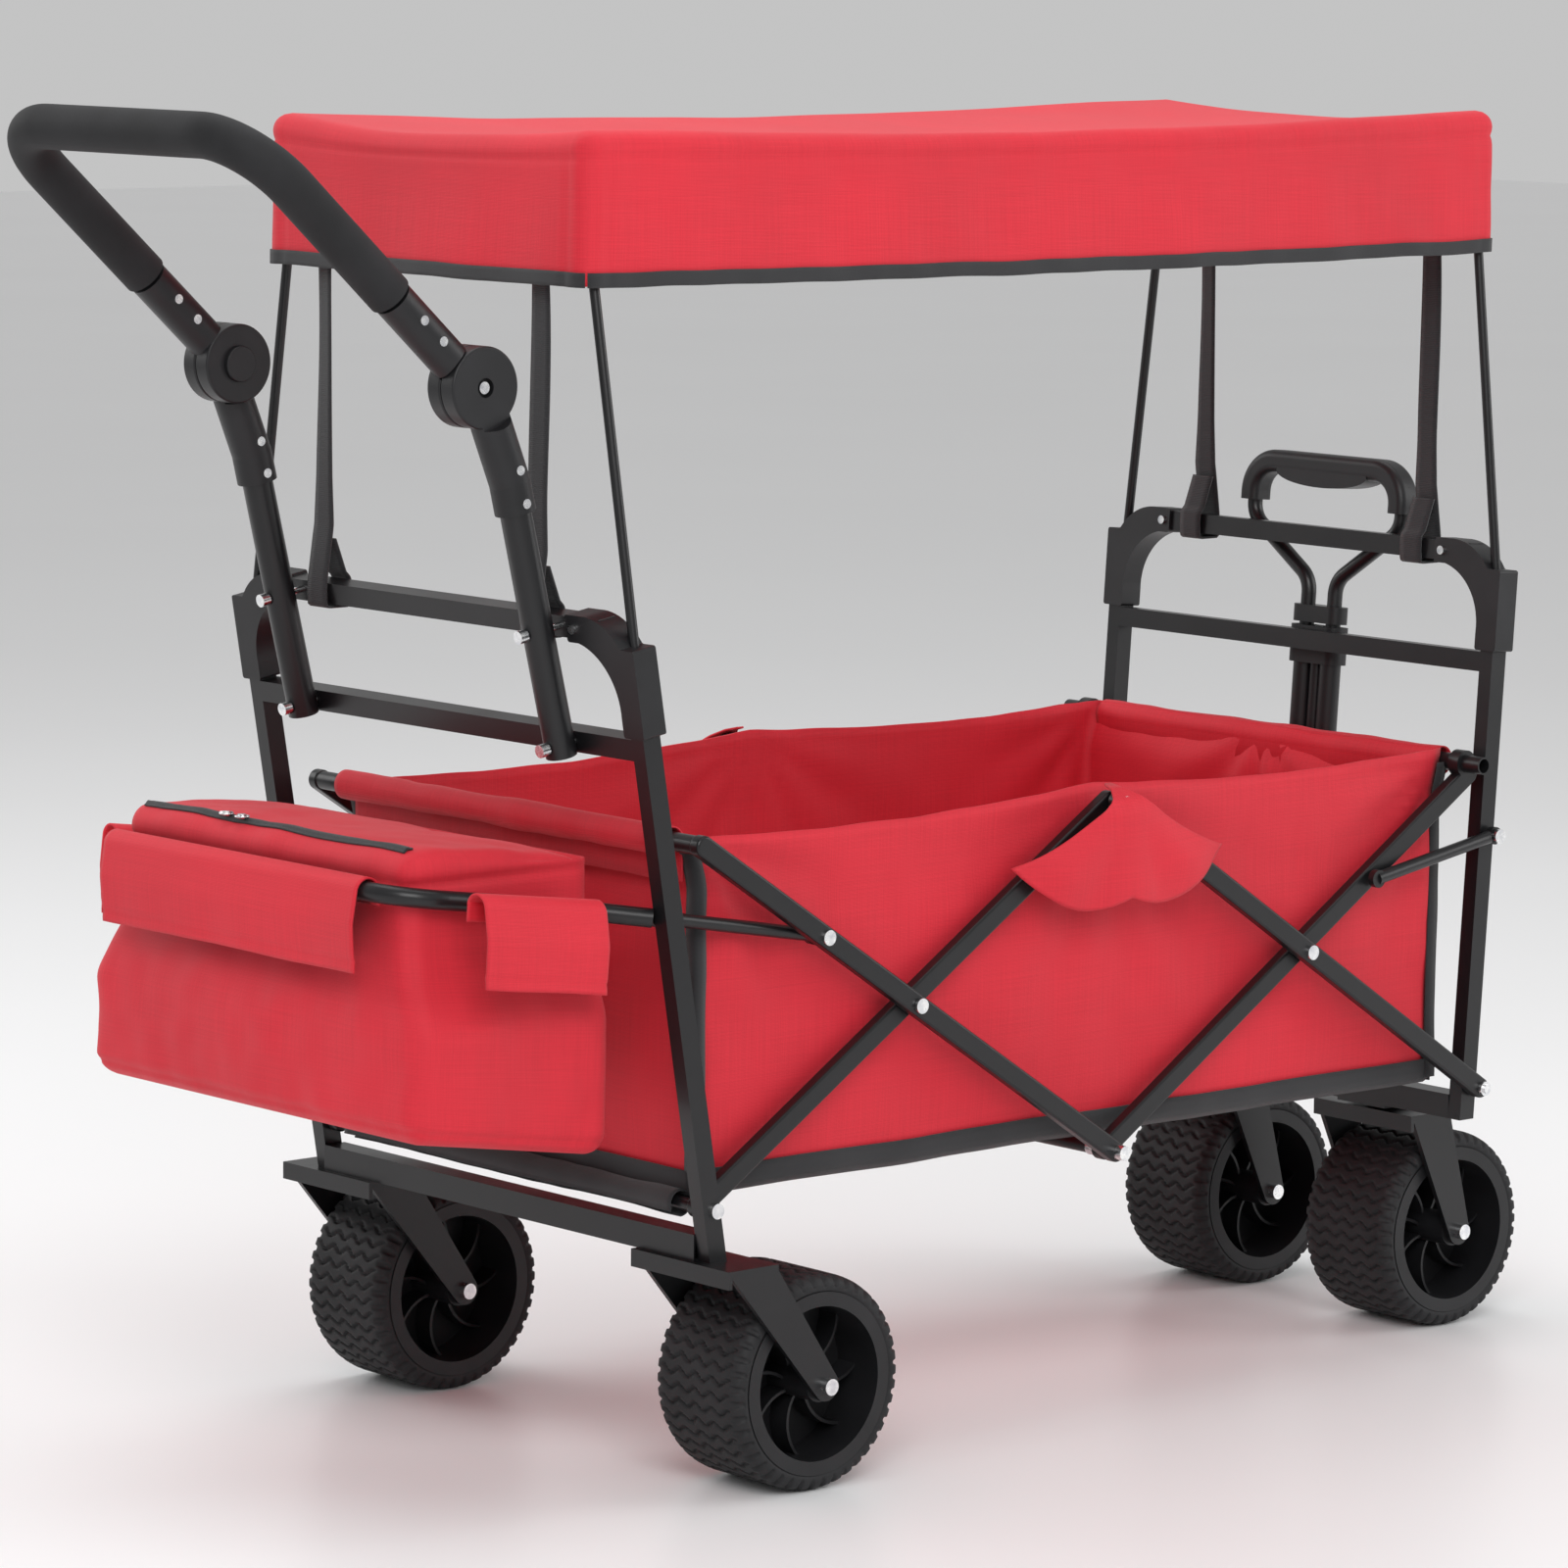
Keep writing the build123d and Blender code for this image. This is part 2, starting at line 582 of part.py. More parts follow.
def pull_outer():
    """Three fixed tubes on a hinge block, upright."""
    body = block((PULL_U - 10, PULL_U + 10), (-28, 28), (PULL_PIVOT_Z - 10, PULL_PIVOT_Z + 14))
    for y in (-PULL_TUBE_Y, PULL_TUBE_Y):
        body += rod((PULL_U, y, PULL_PIVOT_Z + 10), (PULL_U, y, PULL_TOP_Z), PULL_OUTER_R)
    body += rod((PULL_U, 0, PULL_PIVOT_Z + 10), (PULL_U, 0, PULL_TOP_Z - 4), 6.5)
    for y in (-PULL_TUBE_Y, PULL_TUBE_Y):
        body -= rod((PULL_U, y, PULL_PIVOT_Z + 16), (PULL_U, y, PULL_TOP_Z + 10), PULL_INNER_R + 0.5)
    return body - pin_y(PULL_U, PULL_PIVOT_Z, -60, 60, RIVET_R + PIN_GAP)


def pull_collar():
    """The moulded collar at the top of the fixed tubes, upright."""
    collar = block((PULL_U - 12.5, PULL_U + 12.5), (-31, 31), (PULL_TOP_Z - 34, PULL_TOP_Z + 1))
    collar = fillet(collar.edges().filter_by(Axis.Z), 11)
    for y in (-PULL_TUBE_Y, PULL_TUBE_Y):
        collar -= rod((PULL_U, y, 500), (PULL_U, y, PULL_TOP_Z + 10), PULL_OUTER_R)
    return collar - rod((PULL_U, 0, 500), (PULL_U, 0, PULL_TOP_Z - 4), 6.5)


def pull_inner_path():
    """The centre line of a sliding tube: straight, then swung out to the grip's end, upright."""
    corners = [(PULL_TUBE_Y, 300), (PULL_TUBE_Y, 684), (PULL_GRIP_Y, 738), (PULL_GRIP_Y, 778)]
    points = [(PULL_U, y, z) for y, z in corners]
    return FilletPolyline(*points, radius=24)


def pull_tie():
    """The slim collar that ties the two sliding tubes together, upright."""
    tie = block((PULL_U - 11, PULL_U + 11), (-30, 30), (PULL_TOP_Z + 4, PULL_TOP_Z + 20))
    tie = fillet(tie.edges().filter_by(Axis.Z), 10)
    for y in (-PULL_TUBE_Y, PULL_TUBE_Y):
        tie -= rod((PULL_U, y, 500), (PULL_U, y, 700), PULL_INNER_R)
    return tie


def pull_grip(tubes):
    """The moulded hand grip over the ends of the sliding tubes, upright."""
    corners = [(PULL_GRIP_Y, 753), (PULL_GRIP_Y, PULL_GRIP_Z), (-PULL_GRIP_Y, PULL_GRIP_Z), (-PULL_GRIP_Y, 753)]
    points = [(PULL_U, y, z) for y, z in corners]
    path = FilletPolyline(*points, radius=30)
    section = Plane(origin=path @ 0, x_dir=(1, 0, 0), z_dir=path % 0) * RectangleRounded(26, 21, 7)
    grip = sweep(section, path)
    palm = Plane.YZ * Pos(0, PULL_GRIP_Z - 8) * Ellipse(58, 13)
    grip += Pos(PULL_U, 0, 0) * extrude(palm, 12.5, both=True)
    for tube in tubes:
        grip -= tube
    return grip


# ---------------------------------------------------------------- soft parts and small steel

def bag_hoop():
    """The round-bar hoop that the rear bag hangs on."""
    rise = 0.142
    start_x, start_z = -495.0, 489.0

    def at(x, y):
        return (x, y, start_z + (start_x - x) * rise)

    points = [
        at(start_x, -250), at(-560, -206), at(-720, -206), at(-720, 206), at(-560, 206), at(start_x, 250),
    ]
    path = FilletPolyline(*points, radius=[60, HOOP_BEND, HOOP_BEND, 60])
    hoop = sweep_tube(path, HOOP_R)
    for post in rear_post_outline():
        hoop -= post
    return hoop


def rear_post_outline():
    """Both rear posts as plain solid bars."""
    width = (REAR_POST_Y - POST_WIDTH / 2, REAR_POST_Y + POST_WIDTH / 2)
    left = lean_rear(block((-POST_DEPTH / 2, POST_DEPTH / 2), width, (150, POST_TOP)))
    return [left, other_side(left)]


def storage_bag():
    """The outer shape of the zipped rear bag: square at the top, and wider below the hoop."""
    side_view = Polyline(
        (BAG_X[0] - BAG_FLARE, BAG_REAR_Z), (BAG_X[1], BAG_Z[0]), (BAG_X[1], BAG_Z[1] - 22),
        (BAG_X[0] + 14, BAG_Z[1]), (BAG_X[0], BAG_Z[1] - 12), (BAG_X[0], BAG_NECK_Z), close=True,
    )
    rear_view = Polyline(
        (-BAG_FLARE_Y, BAG_Z[0]), (BAG_FLARE_Y, BAG_Z[0]), (BAG_Y, BAG_NECK_Z), (BAG_Y, BAG_Z[1]),
        (-BAG_Y, BAG_Z[1]), (-BAG_Y, BAG_NECK_Z), close=True,
    )
    bag = Pos(0, BAG_FLARE_Y, 0) * extrude(make_face(Plane.XZ * side_view), 2 * BAG_FLARE_Y)
    bag &= Pos(BAG_X[0] - 20, 0, 0) * extrude(make_face(Plane.YZ * rear_view), 300)
    for side in (-1, 1):
        bag -= bag_corner_wedge(side)
    return bag


def bag_corner_wedge(side):
    """What a rear corner of the bag leaves free for the bend of its hoop."""
    x = BAG_X[0]
    y = side * BAG_Y
    reach = 60
    near = (x - reach, y - side * (BAG_CORNER + reach))
    far = (x + BAG_CORNER + reach, y + side * reach)
    plan = make_face(Polyline(near, far, (x - reach, y + side * reach), close=True))
    return Pos(0, 0, BAG_Z[0] - 5) * extrude(plan, BAG_Z[1] - BAG_Z[0] + 10)


def open_shell(x, y, z, wall, opens_up):
    """A fabric box with one open face."""
    outer = block(x, y, z)
    top = z[1] + 20 if opens_up else z[1] - wall
    low = z[0] + wall if opens_up else z[0] - 20
    return outer - block((x[0] + wall, x[1] - wall), (y[0] + wall, y[1] - wall), (low, top))


def canopy_rod(frame_x, lean, post_y, top):
    """A slim rod from a bracket's socket to a corner of the canopy."""
    x, z = lean_point(0, POST_TOP + 4, frame_x, lean)
    return rod((x, post_y, z), top, 4.25)


def strap(bar_x, bar_z, lean, top_x):
    """A webbing strap looped round an upper crossbar and sewn inside the canopy's end panel."""
    loop = Pos(bar_x, STRAP_Y, bar_z) * Rot(0, lean, 0) * (Box(25, STRAP_WIDTH, 25) - Box(19, 60, 19))
    low_z = bar_z + 10
    high_z = CANOPY_Z[0] - 2
    length = math.hypot(top_x - bar_x, high_z - low_z)
    angle = math.degrees(math.atan2(top_x - bar_x, high_z - low_z))
    middle = Pos((top_x + bar_x) / 2, STRAP_Y, (low_z + high_z) / 2)
    return loop + middle * Rot(0, angle, 0) * Box(STRAP_THICK, STRAP_WIDTH, length)


def frame_pin(at, low, high, head_low, head_high):
    """A bolt along Y with a head at its outer end."""
    shank = pin_y(at[0], at[1], low, high, RIVET_R)
    return shank + pin_y(at[0], at[1], head_low, head_high, 6.5)


# ---------------------------------------------------------------- assembly

def build_end_frames():
    """Posts, crossbars, brackets and rods."""
    add_pair("rear_post", rear_post())
    add_pair("front_post", front_post())
    for name, lean, post_y in (("rear", lean_rear, REAR_POST_Y), ("front", lean_front, FRONT_POST_Y)):
        bars = [crossbar(h, crossbar_half(h, post_y)) for h in (UPPER_BAR_Z, LOWER_BAR_Z)]
        if name == "rear":
            for side in (-1, 1):
                for height in (UPPER_BAR_Z, LOWER_BAR_Z):
                    y = side * HANDLE_TUBE_Y
                    hole = rod((-30, y, height), (30, y, height), BOLT_R)
                    bars = [bar - hole for bar in bars]
        add(name + "_crossbars", *[lean(bar) for bar in bars])
    add("rear_bottom_bar", rear_bottom_bar())
    add("front_bottom_bar", front_bottom_bar())
    rear_rod = canopy_rod(REAR_X, REAR_LEAN, REAR_POST_Y, (CANOPY_X[0] + ROD_INSET, REAR_ROD_TOP_Y, ROD_TOP_Z))
    front_rod = canopy_rod(FRONT_X, FRONT_LEAN, FRONT_POST_Y, (CANOPY_X[1] - ROD_INSET, FRONT_ROD_TOP_Y, ROD_TOP_Z))
    add("rear_canopy_rods", rear_rod, other_side(rear_rod))
    add("front_canopy_rods", front_rod, other_side(front_rod))
    rear_parts = [post_core(REAR_POST_Y), bar_core(REAR_POST_Y), bracket_screw(REAR_POST_Y)]
    rear_bracket = lean_rear(corner_bracket(REAR_POST_Y, rear_parts)) - rear_rod
    front_parts = [post_core(FRONT_POST_Y), bar_core(FRONT_POST_Y), bracket_screw(FRONT_POST_Y)]
    front_bracket = lean_front(corner_bracket(FRONT_POST_Y, front_parts)) - front_rod
    add("rear_corner_brackets", rear_bracket, other_side(rear_bracket))
    add("front_corner_brackets", front_bracket, other_side(front_bracket))


def build_wheels():
    """Rear fixed forks, front casters, tyres, rims and axles."""
    add_pair("rear_fork", fork(REAR_FORK_X, REAR_WHEEL_Y, REAR_FORK_Z, REAR_AXLE_X))
    add_pair("rear_tyre", tyre(REAR_AXLE_X, REAR_WHEEL_Y))
    add_pair("rear_rim", rim(REAR_AXLE_X, REAR_WHEEL_Y))
    left = axle(REAR_AXLE_X, REAR_WHEEL_Y, 1)
    add("rear_axles", left, other_side(left))
    add_pair("caster_fork", caster_fork(FRONT_WHEEL_Y))
    add_pair("caster_axle", axle(FRONT_AXLE_X, FRONT_WHEEL_Y, 1))
    add_pair("front_tyre", tyre(FRONT_AXLE_X, FRONT_WHEEL_Y))
    add_pair("front_rim", rim(FRONT_AXLE_X, FRONT_WHEEL_Y))


def build_scissors():
    """The folding sides, their tubes, pins and struts."""
    free = RIVET_R + PIN_GAP
    rising = arm(REAR_PIVOT, TOP_HUB, INNER_LAYER_Y)
    for at, radius in ((REAR_PIVOT, free), (REAR_CROSS, RIVET_R), (TOP_HUB, RIVET_R)):
        rising = drill(rising, at, radius)
    falling = arm(REAR_RAIL, LOW_HUB, OUTER_LAYER_Y)
    for at, radius in ((REAR_CROSS, free), (LOW_HUB, RIVET_R), (REAR_LINK_END, RIVET_R)):
        falling = drill(falling, at, radius)
    front_rising = arm(TOP_HUB, FRONT_PIVOT, OUTER_LAYER_Y)
    for at, radius in ((TOP_HUB, free), (FRONT_CROSS, RIVET_R), (FRONT_PIVOT, free)):
        front_rising = drill(front_rising, at, radius)
    front_falling = arm(LOW_HUB, FRONT_ARM_TOP, INNER_LAYER_Y)
    low = INNER_LAYER_Y - ARM_THICK / 2
    front_falling += pin_y(FRONT_RAIL[0], FRONT_RAIL[1], low, low + ARM_THICK, 12)
    front_falling -= pin_y(FRONT_RAIL[0], FRONT_RAIL[1], 200, 300, RAIL_R)
    for at in (LOW_HUB, FRONT_CROSS):
        front_falling = drill(front_falling, at, free)
    add("rear_rising_arms", rising, other_side(rising))
    add("rear_falling_arms", falling, other_side(falling))
    add("front_rising_arms", front_rising, other_side(front_rising))
    add("front_falling_arms", front_falling, other_side(front_falling))
    inside = INNER_LAYER_Y - ARM_THICK / 2
    outside = OUTER_LAYER_Y - ARM_THICK / 2
    face = OUTER_LAYER_Y + ARM_THICK / 2
    add("rear_rail_tube", tube_y(*REAR_RAIL, outside, RAIL_R))
    add("front_rail_tube", tube_y(*FRONT_RAIL, face + RAIL_STUB, RAIL_R))
    add("rear_floor_tube", tube_y(*REAR_PIVOT, inside, FLOOR_TUBE_R))
    add("centre_floor_tube", tube_y(*LOW_HUB, TUB_Y, FLOOR_TUBE_R))
    build_scissor_pins(inside, face)


def build_scissor_pins(inside, face):
    """Rivets and bolts of the scissor sides, each group on the body that carries it."""
    groups = {
        "rear_arm_rivets": [
            frame_pin(REAR_CROSS, inside, face + 1, face + 0.5, face + 3.5),
            frame_pin(TOP_HUB, inside, face + 1, face + 0.5, face + 4),
        ],
        "hub_bolts": [
            frame_pin(LOW_HUB, inside - 8, face, face, face + 9) + pin_y(*LOW_HUB, inside - 9, inside - 1, 7),
            frame_pin(REAR_LINK_END, OUTER_LAYER_Y - 6, face, face, face + 2.5),
        ],
        "front_arm_rivets": [frame_pin(FRONT_CROSS, inside, face, face, face + 3)],
    }
    for name, pins in groups.items():
        add(name, *pins, *[other_side(pin) for pin in pins])
    rear_link = strut_bar(REAR_STRUT, REAR_LINK_END, INNER_LAYER_Y)
    front_link = strut_bar(FRONT_STRUT, FRONT_LINK_END, OUTER_LAYER_Y)
    add("rear_struts", rear_link, other_side(rear_link))
    add("front_struts", front_link, other_side(front_link))


def strut_bar(start, end, layer_y):
    """A round strut with a flattened eye at each end, in one arm layer."""
    strut = rod((start[0], layer_y, start[1]), (end[0], layer_y, end[1]), 5.8)
    strut -= pin_y(start[0], start[1], layer_y - 10, layer_y + 10, 7.5)
    for at in (start, end):
        strut += pin_y(at[0], at[1], layer_y - 3, layer_y + 3, 8)
    return drill(strut, start, RIVET_R + PIN_GAP)


def build_push_handle():
    """Tubes, hubs, elbows, grip and buttons."""
    tube = handle_tube()
    add("handle_tubes", tube, other_side(tube))
    lower_screws = elbow_screws(lower_screw_points(), HANDLE_TUBE_Y)
    upper_screws = elbow_screws(upper_screw_points(), HUB[1])
    lower = lower_elbow()
    upper = upper_elbow()
    for screw in lower_screws:
        lower -= screw
    for screw in upper_screws:
        upper -= screw
    add("lower_elbows", lower, other_side(lower))
    add("upper_elbows", upper, other_side(upper))
    add("push_bar", sweep_tube(grip_path(BAR_START), BAR_R))
    add("grip_foam", grip_foam())
    add("upper_elbow_screws", *upper_screws, *[other_side(s) for s in upper_screws])
    add_pair("hub_button", hub_button())
    outside_pin = frame_pin(REAR_PIVOT, INNER_LAYER_Y - 5.5, 264.5, 264.5, 267.5)
    strut_pin = frame_pin(REAR_STRUT, INNER_LAYER_Y - 5.5, REAR_POST_Y - 7.5, INNER_LAYER_Y - 5.7, INNER_LAYER_Y - 3.5)
    screw = lean_rear(bracket_screw(REAR_POST_Y))
    bolts = [lean_rear(handle_bolt(height)) for height in (UPPER_BAR_Z, LOWER_BAR_Z)]
    left = bolts + lower_screws + [outside_pin, strut_pin, screw, hub_screw()]
    add("rear_frame_bolts", *left, *[other_side(piece) for piece in left])


def build_pull_handle():
    """The telescoping pull handle and its hinge pin."""
    path = pull_inner_path()
    inner = sweep_tube(path, PULL_INNER_R)
    core = sweep(Plane(origin=path @ 0, z_dir=path % 0) * Circle(PULL_INNER_R), path)
    tubes = [inner, other_side(inner)]
    grip = lean_front(pull_grip([core, other_side(core)]))
    add("pull_outer_tubes", lean_front(pull_outer()))
    add("pull_collar", lean_front(pull_collar()))
    add("pull_inner_tubes", *[lean_front(tube) for tube in tubes], lean_front(pull_tie()))
    add("pull_grip", grip)
    x, z = lean_point(PULL_U, PULL_PIVOT_Z, FRONT_X, FRONT_LEAN)
    hinge = pin_y(x, z, -36, 36, RIVET_R)
    pivot = frame_pin(FRONT_PIVOT, 234, 268, 262.4, 266)
    strut_pin = frame_pin(FRONT_STRUT, 249, 262, 262.2, 265)
    screw = lean_front(bracket_screw(FRONT_POST_Y))
    left = [pivot, strut_pin, screw]
    add("front_frame_bolts", hinge, *left, *[other_side(piece) for piece in left])


def build_soft_parts():
    """Tub, canopy, bag, hoop and straps as plain solids."""
    add("tub_liner", open_shell(TUB_X, (-TUB_Y, TUB_Y), TUB_Z, FABRIC, True))
    add("canopy_cover", open_shell(CANOPY_X, (-CANOPY_Y, CANOPY_Y), CANOPY_Z, FABRIC, False))
    add("storage_bag", storage_bag())
    add("bag_hoop", bag_hoop())
    rear_x, rear_z = lean_point(0, UPPER_BAR_Z, REAR_X, REAR_LEAN)
    front_x, front_z = lean_point(0, UPPER_BAR_Z, FRONT_X, FRONT_LEAN)
    rear_strap = strap(rear_x, rear_z, REAR_LEAN, CANOPY_X[0] + STRAP_INSET)
    front_strap = strap(front_x, front_z, FRONT_LEAN, CANOPY_X[1] - STRAP_INSET)
    add("rear_straps", rear_strap, other_side(rear_strap))
    add("front_straps", front_strap, other_side(front_strap))


def export_all():
    """Writes one STEP file per node, with the origin moved to the box's middle."""
    os.makedirs("parts", exist_ok=True)
    for name, solids in nodes.items():
        moved = [solid.moved(Location((ORIGIN_SHIFT_X, 0, 0))) for solid in solids]
        shape = moved[0] if len(moved) == 1 else Compound(children=moved)
        shape.label = name
        export_step(shape, os.path.join("parts", name + ".step"))
    print(len(nodes), "nodes")


def main():
    build_end_frames()
    build_wheels()
    build_scissors()
    build_push_handle()
    build_pull_handle()
    build_soft_parts()
    export_all()


main()
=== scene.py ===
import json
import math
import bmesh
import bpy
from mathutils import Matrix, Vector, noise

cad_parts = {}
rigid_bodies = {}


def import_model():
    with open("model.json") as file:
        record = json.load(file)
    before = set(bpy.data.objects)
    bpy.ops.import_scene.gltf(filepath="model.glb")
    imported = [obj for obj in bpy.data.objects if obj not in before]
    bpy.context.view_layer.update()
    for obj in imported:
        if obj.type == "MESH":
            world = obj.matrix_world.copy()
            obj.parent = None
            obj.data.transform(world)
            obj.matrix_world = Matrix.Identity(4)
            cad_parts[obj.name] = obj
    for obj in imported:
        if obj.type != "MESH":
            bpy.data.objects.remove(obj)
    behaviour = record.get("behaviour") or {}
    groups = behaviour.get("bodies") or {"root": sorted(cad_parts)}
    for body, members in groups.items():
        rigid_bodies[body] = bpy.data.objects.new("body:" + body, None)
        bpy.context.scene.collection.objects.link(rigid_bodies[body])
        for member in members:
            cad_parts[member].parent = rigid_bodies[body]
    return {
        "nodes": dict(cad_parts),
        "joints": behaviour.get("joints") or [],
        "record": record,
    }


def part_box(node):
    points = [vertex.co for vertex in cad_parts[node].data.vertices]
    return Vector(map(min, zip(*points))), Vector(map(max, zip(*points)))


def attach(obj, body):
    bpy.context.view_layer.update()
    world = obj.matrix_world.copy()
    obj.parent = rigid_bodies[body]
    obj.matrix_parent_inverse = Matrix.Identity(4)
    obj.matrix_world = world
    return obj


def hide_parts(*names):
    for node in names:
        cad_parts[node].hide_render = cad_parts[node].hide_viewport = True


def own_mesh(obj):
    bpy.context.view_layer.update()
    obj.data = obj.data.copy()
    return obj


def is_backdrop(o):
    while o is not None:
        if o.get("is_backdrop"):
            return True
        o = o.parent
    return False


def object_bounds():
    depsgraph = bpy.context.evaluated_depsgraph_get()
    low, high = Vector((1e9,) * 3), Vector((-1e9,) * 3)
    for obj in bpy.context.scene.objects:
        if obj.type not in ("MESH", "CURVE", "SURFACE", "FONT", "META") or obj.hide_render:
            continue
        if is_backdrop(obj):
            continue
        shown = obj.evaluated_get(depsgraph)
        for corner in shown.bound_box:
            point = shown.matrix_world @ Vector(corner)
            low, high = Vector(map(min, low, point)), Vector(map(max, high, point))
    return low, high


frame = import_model()

# %% [markdown]
# # A folding wagon, piece by piece
# This lesson dresses a working steel-and-fabric wagon. The steel frame, the wheels' axles and the handles
# already exist as exact solids, loaded above, and they never move or change shape here. What is added is
# what gives a wagon its looks: sewn fabric, moulded tread, stitched webbing, and a finish for every
# surface. All sizes are in metres, +X is forward, +Y is the wagon's left and +Z is up.

cad_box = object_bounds()
nodes = frame["nodes"]
joint_at = {joint["name"]: joint.get("pos_m") for joint in frame["joints"]}
print("steel and fabric solids span", [[round(v, 3) for v in corner] for corner in cad_box])

# %% [markdown]
# ## A few helpers
# Each new piece is drawn in a bmesh, which is Blender's mesh editor without the window. When it is done
# it becomes an object, gets a material, rides on the body it belongs to, and takes the place of the plain
# solid that stood for it. One helper does these closing steps for all of them, so no piece forgets one.

# %% Closing steps for a new piece
def finish_piece(bm, name, material, body, replaced=()):
    """Turns a bmesh into an object that rides on a body, and returns it."""
    bmesh.ops.recalc_face_normals(bm, faces=bm.faces)
    mesh = bpy.data.meshes.new(name)
    bm.to_mesh(mesh)
    bm.free()
    piece = bpy.data.objects.new(name, mesh)
    bpy.context.scene.collection.objects.link(piece)
    mesh.materials.append(material)
    for face in mesh.polygons:
        face.use_smooth = True
    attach(piece, body)
    if replaced:
        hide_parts(*replaced)
    return piece


def add_modifier(piece, kind, **values):
    """Adds a modifier and sets its values."""
    modifier = piece.modifiers.new(kind.title(), kind)
    for key, value in values.items():
        setattr(modifier, key, value)
    return modifier


# %% [markdown]
# ## Cloth coordinates
# A weave has a real size, about a millimetre from thread to thread. A UV map in metres gives every piece
# of cloth the same thread count. Each face is laid flat along the axis that it faces most, as a cutter
# lays the panel of a sewn box on the table.

# %% A UV map in metres
def lay_out_cloth(bm, along=None):
    """Writes a UV map in metres: by the face's main direction, or along a given function of the point."""
    layer = bm.loops.layers.uv.verify()
    for face in bm.faces:
        normal = [abs(value) for value in face.normal]
        main = normal.index(max(normal))
        for loop in face.loops:
            point = loop.vert.co
            if along:
                loop[layer].uv = along(point)
            elif main == 0:
                loop[layer].uv = (point.y, point.z)
            elif main == 1:
                loop[layer].uv = (point.x, point.z)
            else:
                loop[layer].uv = (point.x, point.y)


def smooth_step(value, low, high):
    """0 below low, 1 above high, and an easy curve between."""
    share = min(max((value - low) / (high - low), 0.0), 1.0)
    return share * share * (3 - 2 * share)


def ripple(x, y, z, size, seed=0.0):
    """Soft unevenness of cloth, about -1 to 1, with bumps about size metres apart."""
    return noise.noise(Vector((x / size + seed, y / size - seed, z / size + 2 * seed)))


# %% [markdown]
# ## Materials
# Every finish starts from Blender's Principled shader. What is the same all over, such as how metallic a
# bolt is, is set on the shader itself; what varies, such as grain, is a small network of noise or waves
# that feeds its colour, roughness or bump. Patterns read either the object's own coordinates or the UV
# map in metres, so they stay put when a piece moves.

# %% A helper that starts a material
def start_material(name, colour, roughness, **values):
    """A Principled material; returns it with its node tree and shader."""
    material = bpy.data.materials.new(name)
    material.use_nodes = True
    tree = material.node_tree
    shader = tree.nodes["Principled BSDF"]
    shader.inputs["Base Color"].default_value = (*colour, 1)
    shader.inputs["Roughness"].default_value = roughness
    for key, value in values.items():
        shader.inputs[key.replace("_", " ")].default_value = value
    return material, tree, shader


def coordinates(tree, kind, scale=(1, 1, 1)):
    """Object or UV coordinates, scaled."""
    source = tree.nodes.new("ShaderNodeTexCoord")
    mapping = tree.nodes.new("ShaderNodeMapping")
    mapping.inputs["Scale"].default_value = scale
    tree.links.new(source.outputs[kind], mapping.inputs["Vector"])
    return mapping.outputs["Vector"]


def noise_map(tree, vector, scale, detail=2.0, roughness=0.5):
    """A noise pattern's factor."""
    node = tree.nodes.new("ShaderNodeTexNoise")
    node.inputs["Scale"].default_value = scale
    node.inputs["Detail"].default_value = detail
    node.inputs["Roughness"].default_value = roughness
    tree.links.new(vector, node.inputs["Vector"])
    return node.outputs["Fac"]


def ramp(tree, factor, low, high, at=(0.0, 1.0)):
    """A two-colour ramp."""
    node = tree.nodes.new("ShaderNodeValToRGB")
    for element, colour, place in zip(node.color_ramp.elements, (low, high), at):
        element.color = (*colour, 1)
        element.position = place
    tree.links.new(factor, node.inputs["Fac"])
    return node.outputs["Color"]


def span(tree, factor, low, high):
    """Maps 0..1 to low..high."""
    node = tree.nodes.new("ShaderNodeMapRange")
    node.inputs["To Min"].default_value = low
    node.inputs["To Max"].default_value = high
    tree.links.new(factor, node.inputs["Value"])
    return node.outputs["Result"]


def combine(tree, first, second, operation="ADD"):
    """Sum, product or another simple operation of two values."""
    node = tree.nodes.new("ShaderNodeMath")
    node.operation = operation
    for place, value in enumerate((first, second)):
        if isinstance(value, (int, float)):
            node.inputs[place].default_value = value
        else:
            tree.links.new(value, node.inputs[place])
    return node.outputs["Value"]


def bump(tree, shader, height, distance, strength=1.0):
    """Feeds a height pattern to the shader as bump, with its depth in metres."""
    node = tree.nodes.new("ShaderNodeBump")
    node.inputs["Distance"].default_value = distance
    node.inputs["Strength"].default_value = strength
    tree.links.new(height, node.inputs["Height"])
    tree.links.new(node.outputs["Normal"], shader.inputs["Normal"])


# %% [markdown]
# ### Steel, zinc and mouldings
# Powder coat is a baked plastic skin, a little glossy with a faint orange peel. Zinc plate on the bolts
# is bright and slightly cloudy. Mouldings have a spark-eroded grain that breaks their shine, and foam has
# no shine at all.

# %% Hard finishes
def powder_coat():
    """Black baked paint with orange peel."""
    material, tree, shader = start_material(
        "powder_coat", (0.006, 0.006, 0.007), 0.34,
        Coat_Weight=0.12, Coat_Roughness=0.2, Specular_IOR_Level=0.32,
    )
    place = coordinates(tree, "Object")
    peel = noise_map(tree, place, 900, 2)
    cloud = noise_map(tree, place, 14, 3)
    tree.links.new(span(tree, cloud, 0.27, 0.45), shader.inputs["Roughness"])
    shade = ramp(tree, cloud, (0.005, 0.005, 0.006), (0.010, 0.010, 0.011))
    tree.links.new(shade, shader.inputs["Base Color"])
    bump(tree, shader, peel, 0.00012, 0.55)
    return material


